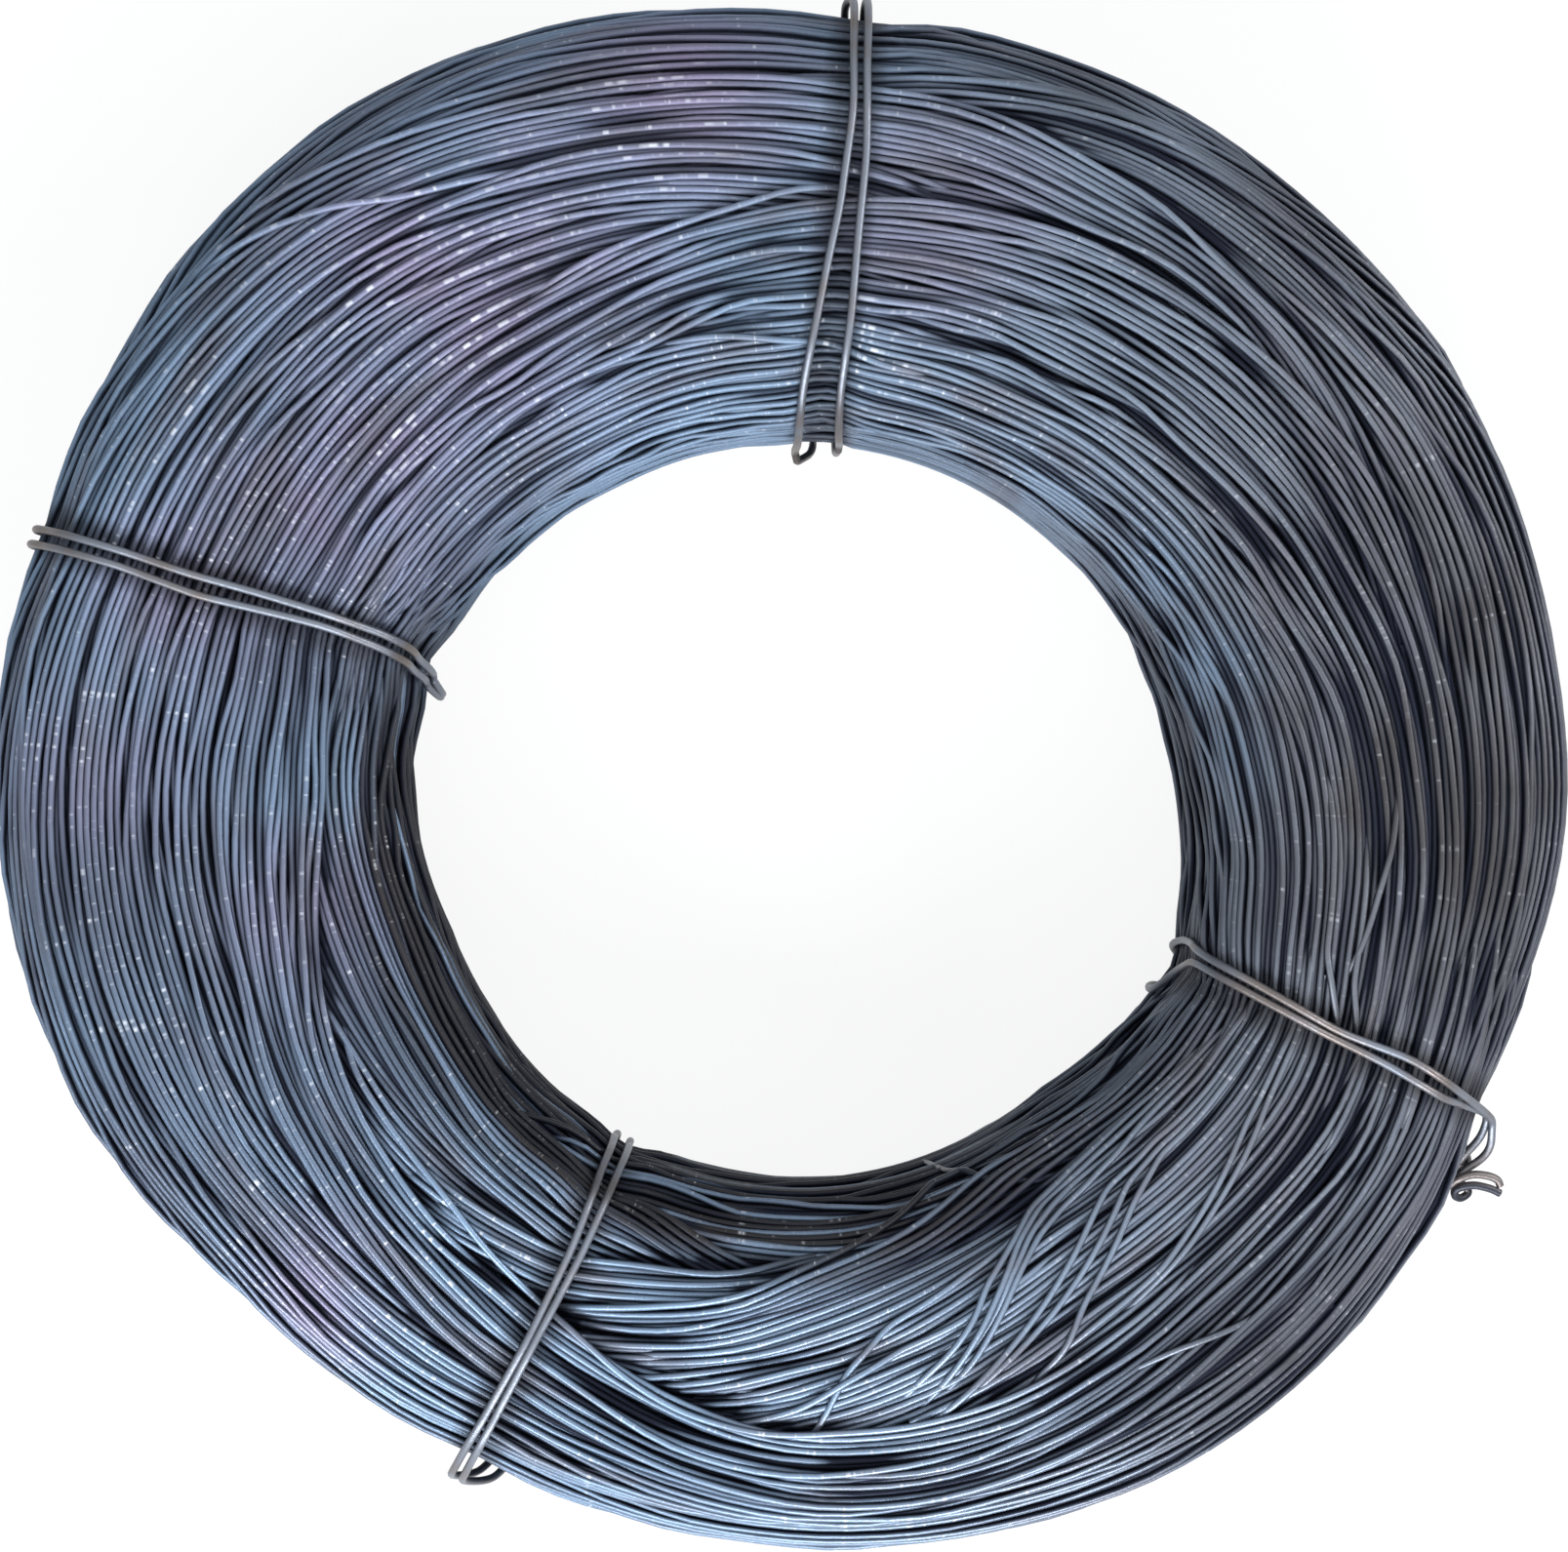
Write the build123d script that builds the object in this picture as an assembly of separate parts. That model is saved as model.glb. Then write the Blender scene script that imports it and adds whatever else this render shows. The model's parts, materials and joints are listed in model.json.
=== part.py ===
from build123d import *
from collections import namedtuple
import math
import os

# Driving dimensions, in millimetres and degrees

wire_d = 1.65  # wire of the coil and of its ties
outer_r = 181.5  # coil radius over the outer turns
bore_r = 89.0  # straight wall of the bore
bore_x = 3.6  # the bore's axis, which lies beside the middle of the uneven coil
bore_y = -9.2
height = 76.0  # coil as it lies on the floor
outer_round = 29.0  # rounding of the two outer edges
bore_round = 24.0  # rounding of the two edges of the bore
groove_depth = 0.4  # groove between two neighbouring turns
tie_pinch = 0.8  # how far a tie squeezes the turns in, on top and outside
seat_gap = 0.3  # room between a tie and the turns that it holds
flush_gap = 0.5  # how far a tie stays behind the bore wall and above the floor
twist_length = 12.0  # twisted stretch that closes a tie under the outer edge
twist_angle = -45.0  # where it lies on the lower outer rounding
knot_angle = 20.0  # where the loose knot lies on the upper outer rounding
knot_length = 17.0  # its twisted stretch, along the side of the coil
knot_tail = 8.0  # its two ends, which stand out from the coil
knot_bend = 4.0  # bend between the twisted stretch and the ends

# Ties: direction of the tie seen from above, how far its line passes beside the coil's middle,
# and the clear gap between its two strands at the bore and at the outer edge

Tie = namedtuple("Tie", "angle aside bore_gap outer_gap knotted")
ties = {
    "tie_back": Tie(angle=85.0, aside=-2.1, bore_gap=8.5, outer_gap=0.6, knotted=False),
    "tie_left": Tie(angle=158.3, aside=13.5, bore_gap=0.8, outer_gap=1.2, knotted=False),
    "tie_front_left": Tie(angle=243.6, aside=3.4, bore_gap=0.4, outer_gap=0.4, knotted=False),
    "tie_front_right": Tie(angle=332.7, aside=4.9, bore_gap=0.6, outer_gap=1.6, knotted=True),
}

# A ring of the coil's surface: the place of its axis, its radius and its height

Ring = namedtuple("Ring", "x y radius z")

# Sizes that follow from the driving dimensions

narrow_wall = outer_r - bore_r - math.hypot(bore_x, bore_y)  # where the bore lies nearest to the outer edge
round_room = min(1.0, (narrow_wall - 2 * wire_d) / (outer_round + bore_round))
outer_edge = outer_round * round_room  # the roundings, limited by that wall
bore_edge = bore_round * round_room
tie_recess = wire_d + seat_gap + flush_gap  # depth of a tie's trench in the bore and the foot
strand_lift = seat_gap + wire_d / 2  # centre of a strand above the floor of its trench
twist_d = 2 * wire_d  # two wires twisted together
twist_lift = seat_gap + twist_d / 2
overrun = 5.0 * wire_d  # how far a cutter reaches past the coil


def ridged(chain):
    """Points along a chain of lines and arcs: out on each turn of wire, in at each groove."""
    turns = max(1, round(chain.length / wire_d))
    points = []
    for step in range(2 * turns + 1):
        along = step / (2 * turns)
        spot = chain @ along
        run = chain % along
        depth = groove_depth if step % 2 else 0.0
        points.append(Vector(spot.X + depth * run.Z, 0, spot.Z - depth * run.X))
    return points


def quarter(start, end, radius_x, radius_z):
    """Quarter round from start to end, whose centre lies radius_x and radius_z from start."""
    centre = Vector(start.X + radius_x, 0, start.Z + radius_z)
    corner = (start - centre) + (end - centre)
    return ThreePointArc(start, centre + corner * math.sqrt(0.5), end)


def rings_about(x, y, points):
    """Rings through points of a half section, all about one upright axis."""
    return [Ring(x, y, point.X, point.Z) for point in points]


def rings_between(first, last):
    """Rings across the top of the coil, whose middles drift from the first ring's to the last one's."""
    turns = round((last.radius - first.radius) / wire_d)
    rings = []
    for step in range(1, 2 * turns):
        share = step / (2 * turns)
        x = first.x + (last.x - first.x) * share
        y = first.y + (last.y - first.y) * share
        radius = first.radius + (last.radius - first.radius) * share
        depth = groove_depth if step % 2 else 0.0
        rings.append(Ring(x, y, radius, height - depth))
    return rings


def bore_rings():
    """Rings of the bore, from the foot up to the top. Its roundings show their turns, its wall is plain."""
    foot_in = Vector(bore_r + bore_edge, 0, 0)
    bore_low = Vector(bore_r, 0, bore_edge)
    bore_top = Vector(bore_r, 0, height - bore_edge)
    top_in = Vector(bore_r + bore_edge, 0, height)
    lower = ridged(quarter(foot_in, bore_low, 0, bore_edge))
    upper = ridged(quarter(bore_top, top_in, bore_edge, 0))
    return rings_about(bore_x, bore_y, lower + upper)


def outer_rings():
    """Rings of the outer side, from the top down to the foot."""
    top_out = Vector(outer_r - outer_edge, 0, height)
    side_top = Vector(outer_r, 0, height - outer_edge)
    side_low = Vector(outer_r, 0, outer_edge)
    foot_out = Vector(outer_r - outer_edge, 0, 0)
    chain = Wire([
        quarter(top_out, side_top, 0, -outer_edge),
        Line(side_top, side_low),
        quarter(side_low, foot_out, -outer_edge, 0),
    ])
    return rings_about(0.0, 0.0, ridged(chain))


def circle(ring):
    """The ring as a round edge."""
    return Edge.make_circle(ring.radius, Plane(origin=(ring.x, ring.y, ring.z)))


def strip(first, second):
    """Face between two rings: turned where they share their axis, ruled where they don't."""
    if (first.x, first.y) != (second.x, second.y):
        return Face.make_surface_from_curves(circle(first), circle(second))
    side = Line((first.x + first.radius, first.y, first.z), (second.x + second.radius, second.y, second.z))
    return Face.revolve(side, 360, Axis((first.x, first.y, 0), (0, 0, 1)))


def bore_reach(tie, radius):
    """Where a tie's line meets a circle about the bore's axis, measured along the line."""
    turn = math.radians(tie.angle)
    ahead = bore_x * math.cos(turn) + bore_y * math.sin(turn)
    beside = bore_y * math.cos(turn) - bore_x * math.sin(turn)
    return ahead + math.sqrt(radius**2 - (tie.aside - beside) ** 2)


def outer_reach(tie, radius):
    """The same for a circle about the middle of the coil."""
    return math.sqrt(radius**2 - tie.aside**2)


def tie_outline(tie, lift):
    """Closed outline round the squeezed section, lifted off it, in the tie's own upright plane."""
    near = bore_reach(tie, bore_r + tie_recess) - lift
    far = outer_reach(tie, outer_r - tie_pinch) + lift
    low = tie_recess - lift
    high = height - tie_pinch + lift
    bore_bend = bore_edge - tie_recess + lift
    outer_bend = outer_edge - tie_pinch + lift
    corners = [(near, 0, low), (far, 0, low), (far, 0, high), (near, 0, high)]
    bends = [bore_bend, outer_bend, outer_bend, bore_bend]
    return FilletPolyline(*corners, radius=bends, close=True)


def half_spread(tie, along):
    """Half the distance between the two strands, at this distance along the tie."""
    near = bore_reach(tie, bore_r)
    far = outer_reach(tie, outer_r)
    widening = (tie.bore_gap - tie.outer_gap) / (far - near)
    return (wire_d + tie.outer_gap + widening * (far - along)) / 2


def round_bar(path, diameter):
    """Bar of round section along a path."""
    start = Plane(origin=path @ 0, z_dir=path % 0)
    return sweep(start * Circle(diameter / 2), path=path)


def strand(tie, side):
    """One closed loop of tie wire, on one side of the tie's line."""
    loop = round_bar(tie_outline(tie, strand_lift), wire_d)
    near = bore_reach(tie, bore_r)
    far = outer_reach(tie, outer_r)
    at_bore = side * half_spread(tie, near)
    at_edge = side * half_spread(tie, far)
    yaw = math.degrees(math.atan2(at_edge - at_bore, far - near))
    return Pos(near, tie.aside + at_bore, 0) * Rot(0, 0, yaw) * Pos(-near, 0, 0) * loop


def on_outer_rounding(angle, lift):
    """Point lifted off the rounding of the outer edge, at this angle above or below level."""
    centre_z = height - outer_edge if angle > 0 else outer_edge
    reach = outer_edge + lift
    x = outer_r - outer_edge + reach * math.cos(math.radians(angle))
    z = centre_z + reach * math.sin(math.radians(angle))
    return Vector(x, 0, z)


def twist(tie):
    """Twisted stretch that closes a tie, lying along it in its trench under the outer edge."""
    sunk = tie_recess * abs(math.sin(math.radians(twist_angle)))
    middle = on_outer_rounding(twist_angle, twist_lift - sunk)
    lean = math.radians(twist_angle)
    along = Vector(-math.sin(lean), 0, math.cos(lean)) * (twist_length / 2)
    bar = round_bar(Line(middle - along, middle + along), twist_d)
    return Pos(outer_reach(tie, outer_r) - outer_r, tie.aside, 0) * bar


def knot(tie):
    """Knot with loose ends, which lies along the side of the coil and turns its ends outwards."""
    start = on_outer_rounding(knot_angle, twist_lift)
    start += Vector(0, tie.aside + half_spread(tie, outer_reach(tie, outer_r)), 0)
    bend = start - Vector(0, knot_length, 0)
    end = bend + Vector(knot_tail, 0, 0)
    path = FilletPolyline(start, bend, end, radius=knot_bend)
    return round_bar(path, twist_d)


def tie_solid(tie):
    """A tie: two strands round the section of the coil, joined where they are twisted together."""
    closing = knot(tie) if tie.knotted else twist(tie)
    return Rot(0, 0, tie.angle) * (strand(tie, -1) + strand(tie, 1) + closing)


def tie_trench(tie):
    """What a tie squeezes out of the coil: all that lies outside the squeezed section."""
    near = bore_reach(tie, bore_r) - overrun
    far = outer_reach(tie, outer_r) + overrun
    room = wire_d / 2 + seat_gap
    near_half = half_spread(tie, near) + room
    far_half = half_spread(tie, far) + room
    plan = Polyline((near, -near_half), (far, -far_half), (far, far_half), (near, near_half), close=True)
    slot = extrude(Pos(0, tie.aside, -overrun) * make_face(plan), height + 2 * overrun)
    squeezed = extrude(make_face(tie_outline(tie, 0)), 2 * outer_r, both=True)
    return Rot(0, 0, tie.angle) * (slot - squeezed)


def coil_solid():
    """The coil: one ring with its bore beside its middle, squeezed in along its ties."""
    inner = bore_rings()
    outer = outer_rings()
    rings = inner + rings_between(inner[-1], outer[0]) + outer
    foot = Face(Wire([circle(outer[-1])]), [Wire([circle(inner[0])])])
    strips = [strip(first, second) for first, second in zip(rings, rings[1:])]
    coil = Solid(Shell(strips + [foot]))
    for tie in ties.values():
        coil -= tie_trench(tie)
    return coil


os.makedirs("parts", exist_ok=True)
export_step(coil_solid(), "parts/wire_coil.step")
for name, tie in ties.items():
    export_step(tie_solid(tie), f"parts/{name}.step")
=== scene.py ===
import json
import math
from collections import namedtuple

import bpy
import numpy as np
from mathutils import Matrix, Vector


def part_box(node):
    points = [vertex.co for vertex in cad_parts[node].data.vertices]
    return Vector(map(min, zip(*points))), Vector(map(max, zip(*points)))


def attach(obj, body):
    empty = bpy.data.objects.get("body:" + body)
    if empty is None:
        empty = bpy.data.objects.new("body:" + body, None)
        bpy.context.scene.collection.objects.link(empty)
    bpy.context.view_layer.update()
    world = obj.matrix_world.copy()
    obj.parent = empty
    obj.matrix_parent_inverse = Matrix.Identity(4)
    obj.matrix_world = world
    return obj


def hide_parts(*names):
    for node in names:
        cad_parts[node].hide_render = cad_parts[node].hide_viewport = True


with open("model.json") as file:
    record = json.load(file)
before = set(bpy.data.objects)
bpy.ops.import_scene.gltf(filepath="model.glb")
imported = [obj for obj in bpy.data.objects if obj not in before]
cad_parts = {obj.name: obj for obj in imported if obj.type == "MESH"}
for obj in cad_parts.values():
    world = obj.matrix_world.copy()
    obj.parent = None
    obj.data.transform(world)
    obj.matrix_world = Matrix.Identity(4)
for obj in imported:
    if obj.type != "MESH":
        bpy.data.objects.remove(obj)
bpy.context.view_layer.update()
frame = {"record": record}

# Sizes, in millimetres. Angles are in degrees, counted from +X towards +Y.

METRE = 1000.0
coil_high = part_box("wire_coil")[1]
OUTER_R = coil_high.x * METRE
HEIGHT = coil_high.z * METRE
bore = frame["record"]["mounts"][0]
BORE_R = bore["dims"]["r_mm"]
BORE_AXIS = np.array(bore["pos_m"][:2]) * METRE
RING_AXIS = np.array([1.7, -4.2])  # the turns are laid about this axis, between the two middles of the coil
WIRE_R = 0.825
TIE_R = 0.95
BORE_BEND = (24.0, 24.0)  # rounding of the bore's edges, across and upwards
OUTER_BEND = (26.0, 31.0)  # rounding of the outer edges, across and upwards
BEND_STEPS = 60
TIE_PINCH = 1.4  # how far a tie squeezes the turns in, on top and outside
TIE_RECESS = 2.5  # the same in the bore and under the foot
PINCH_ANGLE = 3.2  # how far that reaches to both sides
FLOOR_GAP = 0.03
WIRE_SIDES = 8  # of a tube
TIE_SIDES = 10
RING_STEP = 5  # columns from one ring of a tube to the next
MOST_TRIANGLES = 185000  # a piece that has more of them is closed, and the next one begun
CORE_RINGS = 144
CORE_SIDES = 96
STRIP_MARGIN = 0.05  # free edge of a tube's strip in the map of its piece
CAMERA_HEIGHT = 758.0
CAMERA_PLACE = (-0.32, -0.77)
FIELD_OF_VIEW = 29.0
NEAREST_SEEN = 10.0
BELL_REACH = 3  # how far a smoothing bell goes, in its widths
SAME = 1e-6  # points closer than this are one

# The grid that the turns are laid on: columns round the coil, cells along the outline of its section

COLUMNS = 720
CELL = 0.25
COLUMN_ANGLE = 360.0 / COLUMNS
COLUMN_STEP = math.radians(COLUMN_ANGLE) * (OUTER_R + BORE_R) / 2
NARROWEST_CELL = 0.8  # on the uneven coil, as a share of a cell on the round one
FAR_BELOW = -100.0  # lower than any turn
RUN_BLUR = 4.0  # how far the outline's direction is smoothed, in cells
RISING = 1e-5  # keeps the shares rising where the bore wall is upright

# How the turns come to rest. Blurs along a wire are in columns.

EDGE_SHARE = 0.03  # nearer to an edge than this, a turn goes on over it at the same rate
RATE_STEP = 0.01
SLIDE_CELLS = 5  # how far a wire may slide aside, in cells, and what that costs against its height
SLIDE_COST = 0.35
SLIDE_BLUR = 5.0
WAY_BLUR = 6.0
CLIMB = 0.13  # steepest rise of a turn that is lifted over another
CLIMB_BLUR = 3.0
PRESSED = 0.85  # how near two turns of one band come before one is lifted, as a share of their thickness
SINK = 0.3  # how far a turn sinks below the mean level of the turns under its band
LEVEL_ANGLE = 4.0  # how fine that level is, round the coil and across it
LEVEL_WIDTH = 3.0
EVEN_ANGLE = 9.0  # how fine the height of all turns is evened out in the end, round the coil and across it
EVEN_WIDTH = 8.0
DIVE = 4.0  # how deep the ends of a wire go down between the turns
DIVE_COLUMNS = 20
BURIED = 0.1  # a wire that lies this far below the lowest skin near it doesn't show
NEAR_COLUMNS = 2  # how far round it that skin is looked for, in columns and cells
NEAR_CELLS = 5
SHADE_CELLS = 8  # the same for the turns that shade it
GROWN_COLUMNS = 21  # shown stretches are widened by this to join them over gaps, then trimmed by the next
TRIMMED_COLUMNS = 25
SHORTEST_RUN = 12
SEED = 7

# Loose turns below the named bands, laid in bundles. Waves are the sizes of the slow waves round the coil.

FILL_RISE = 3.0  # how thick they lie
FILL_BLUR = 2.0
FILL_SHORT = 0.25  # nearer to that than this, the filling ends
FILL_CHOICE = 40  # the next bundle starts in one of this many lowest cells
MOST_BUNDLES = 200
BUNDLE_TURNS = (5, 13)
BUNDLE_PITCH = (1.0, 1.14)
BUNDLE_WAVES = [2.2, 1.6, 0.8, 0.5]
SPREAD_WAVES = [0.06, 0.05]
LOOSE_WAVES = [0.2, 0.2, 0.15, 0.12, 0.1]

# Turns of a band, laid in groups that drift together

GROUP_TURNS = (2, 6)
GROUP_WAVES = [0.0, 0.15, 0.25, 0.25, 0.2, 0.2]
TURN_WAVES = [0.0, 0.06, 0.08, 0.08, 0.08, 0.06, 0.05, 0.05]
TURN_SHIFT = 0.12  # how far a turn lies beside its place, in turns
END_SCATTER = 16  # how far the ends of a band's turns lie apart, in columns
BAND_BLUR = 2.5
LOOSE_BLUR = 0.6
KINK_BLUR = 0.8
LONE_BLUR = 1.6

# How far the outer and the inner edge of the uneven coil lie outside the round ones, about the ring's axis

EDGE_BLUR = 6.0
OUTER_SHIFT = [
    (0, 0.0), (10, -2.0), (20, -1.0), (30, 0.0), (60, 0.0), (80, -0.8), (90, -2.2), (100, 1.7), (110, 5.0),
    (130, 8.8), (140, 6.8), (150, 4.3), (180, 4.0), (200, 1.5), (210, -2.0), (220, -9.0), (240, -8.3),
    (250, -9.2), (260, -9.0), (270, -5.5), (290, -2.5), (300, 0.5), (320, -0.8), (330, -3.7), (340, -7.7),
    (350, -3.0),
]
INNER_SHIFT = [
    (0, 5.5), (10, 3.6), (30, 1.4), (40, -0.4), (50, -2.0), (60, -3.8), (75, -5.0), (90, -6.0),
    (100, -3.5), (120, -3.5), (130, -1.3), (150, 1.9), (160, 2.2), (170, 4.8), (180, 4.0), (200, 1.0),
    (210, 0.7), (220, 2.8), (230, 4.3), (240, 4.3), (270, 5.5), (280, 6.6), (300, 4.9), (310, 6.8),
    (320, 9.4), (330, 13.0), (340, 11.2), (350, 9.4),
]
TIE_ANGLES = (85.0, 160.8, 244.4, 335.6)

# Bands of turns that show on top, in the order they are laid. Each has its number of turns, and its two
# edges at a few angles. An edge is 0 at the bore and 1 at the outer edge of the coil, seen from above.
# Past 1 it has gone over the outer edge.

Band = namedtuple("Band", "name turns edges")
BANDS = [
    Band("bore_south", 11, [
        (225, 0.09, 0.27), (235, 0.05, 0.23), (246, 0.03, 0.21), (260, 0.04, 0.21), (280, 0.045, 0.21),
        (290, 0.055, 0.17), (300, 0.065, 0.16), (312, 0.1, 0.2), (325, 0.14, 0.26),
    ]),
    Band("inner_south", 15, [
        (160, 0.03, 0.27), (180, 0.05, 0.275), (200, 0.055, 0.28), (220, 0.07, 0.3), (230, 0.09, 0.32),
        (240, 0.105, 0.335), (246, 0.115, 0.34), (255, 0.16, 0.38), (265, 0.225, 0.45), (278, 0.29, 0.52),
    ]),
    Band("crossing", 9, [
        (218, 0.41, 0.56), (230, 0.39, 0.51), (240, 0.37, 0.49), (246, 0.34, 0.475), (255, 0.3, 0.4),
        (265, 0.26, 0.345), (272, 0.2, 0.31), (282, 0.13, 0.27),
    ]),
    Band("fan", 34, [
        (240, 0.54, 1.0), (250, 0.47, 0.98), (260, 0.38, 0.92), (265, 0.325, 0.89), (270, 0.265, 0.85),
        (280, 0.185, 0.77), (290, 0.135, 0.69), (300, 0.1, 0.63), (310, 0.085, 0.615), (320, 0.07, 0.61),
        (330, 0.06, 0.62), (336, 0.055, 0.585), (345, 0.03, 0.55), (360, 0.015, 0.52), (370, 0.01, 0.5),
        (380, 0.005, 0.44), (390, 0.0, 0.41), (400, 0.0, 0.385), (420, 0.0, 0.36), (440, 0.0, 0.35),
        (450, 0.0, 0.34), (460, 0.0, 0.31), (480, 0.0, 0.285), (500, 0.0, 0.285), (521, 0.02, 0.275),
    ]),
    Band("outer_east", 19, [
        (318, 0.78, 1.06), (335, 0.76, 1.08), (345, 0.72, 1.1), (360, 0.69, 1.1), (370, 0.69, 1.1),
        (380, 0.71, 1.1), (390, 0.715, 1.08), (400, 0.725, 1.03), (410, 0.745, 1.0), (420, 0.77, 0.975),
        (430, 0.76, 0.935), (440, 0.73, 0.9), (452, 0.68, 0.88), (466, 0.66, 0.86),
    ]),
    Band("rim_north", 10, [
        (70, 0.94, 1.1), (84.5, 0.87, 1.1), (100, 0.88, 1.1), (120, 0.9, 1.06), (135, 0.91, 1.03),
        (152, 0.93, 1.0), (165, 0.93, 1.0),
    ]),
    Band("north", 11, [
        (8, 0.6, 0.7), (20, 0.61, 0.715), (30, 0.63, 0.735), (40, 0.665, 0.755), (46, 0.69, 0.77),
        (54, 0.7, 0.79), (63, 0.68, 0.8), (75, 0.695, 0.84), (85, 0.7, 0.86), (97, 0.71, 0.865),
        (110, 0.73, 0.875), (120, 0.76, 0.905), (130, 0.8, 0.94), (140, 0.83, 0.975), (150, 0.86, 1.0),
        (160, 0.88, 1.02), (180, 0.92, 1.06), (200, 0.95, 1.1), (230, 1.0, 1.15), (312, 1.02, 1.15),
        (335.5, 1.0, 1.13), (352, 0.98, 1.1),
    ]),
    Band("sweep", 21, [
        (70, 0.38, 0.62), (78, 0.4, 0.67), (85, 0.41, 0.7), (97, 0.45, 0.71), (110, 0.46, 0.73),
        (120, 0.46, 0.76), (130, 0.455, 0.8), (140, 0.46, 0.83), (150, 0.47, 0.86), (160, 0.475, 0.88),
        (170, 0.475, 0.9), (180, 0.5, 0.92), (190, 0.515, 0.935), (200, 0.525, 0.95), (207, 0.555, 0.96),
        (212, 0.585, 0.965), (220, 0.605, 0.98), (230, 0.625, 1.0), (240, 0.645, 1.0), (250, 0.7, 1.0),
        (260, 0.755, 1.02), (270, 0.785, 1.02), (280, 0.775, 1.02), (290, 0.765, 1.02), (300, 0.745, 1.02),
        (312, 0.74, 1.02), (335.5, 0.77, 1.0), (352, 0.72, 0.96),
    ]),
    Band("middle", 16, [
        (320, 0.6, 0.8), (335.5, 0.6, 0.8), (345, 0.56, 0.76), (360, 0.52, 0.72), (370, 0.5, 0.72),
        (380, 0.44, 0.71), (390, 0.41, 0.71), (400, 0.385, 0.7), (410, 0.37, 0.68), (417, 0.365, 0.66),
        (430, 0.355, 0.635), (443, 0.345, 0.605), (450, 0.34, 0.585), (457, 0.32, 0.545),
        (463, 0.295, 0.51), (470, 0.27, 0.485), (480, 0.25, 0.46), (500, 0.24, 0.45), (520, 0.24, 0.46),
        (525, 0.23, 0.455), (530, 0.21, 0.45), (540, 0.2, 0.485), (550, 0.25, 0.51), (560, 0.33, 0.53),
        (570, 0.4, 0.6), (580, 0.455, 0.64), (590, 0.495, 0.68), (600, 0.53, 0.74), (610, 0.585, 0.8),
        (620, 0.665, 0.86), (630, 0.705, 0.9), (640, 0.7, 0.9), (650, 0.685, 0.88), (660, 0.64, 0.84),
        (669, 0.605, 0.81), (680, 0.6, 0.8), (690, 0.62, 0.81), (696, 0.6, 0.8), (710, 0.55, 0.75),
    ]),
]
FAN_COVER = [
    (240, 0.5), (246, 0.535), (255, 0.63), (265, 0.7), (281, 0.69), (290, 0.668), (300, 0.626),
    (320, 0.61),
]
HIDDEN = 0.10  # how far the turns of the fan go on below the bands that cover them

# Ties: the knots of each strand, as (share, angle, slack). The share runs from 0 at the bore over the top
# to 1 at the outer edge, and on to 2 back under the foot. Slack is how far the strand stands off the turns.
# A strand may leave the coil at its end and go on through the points of its tail.

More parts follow.
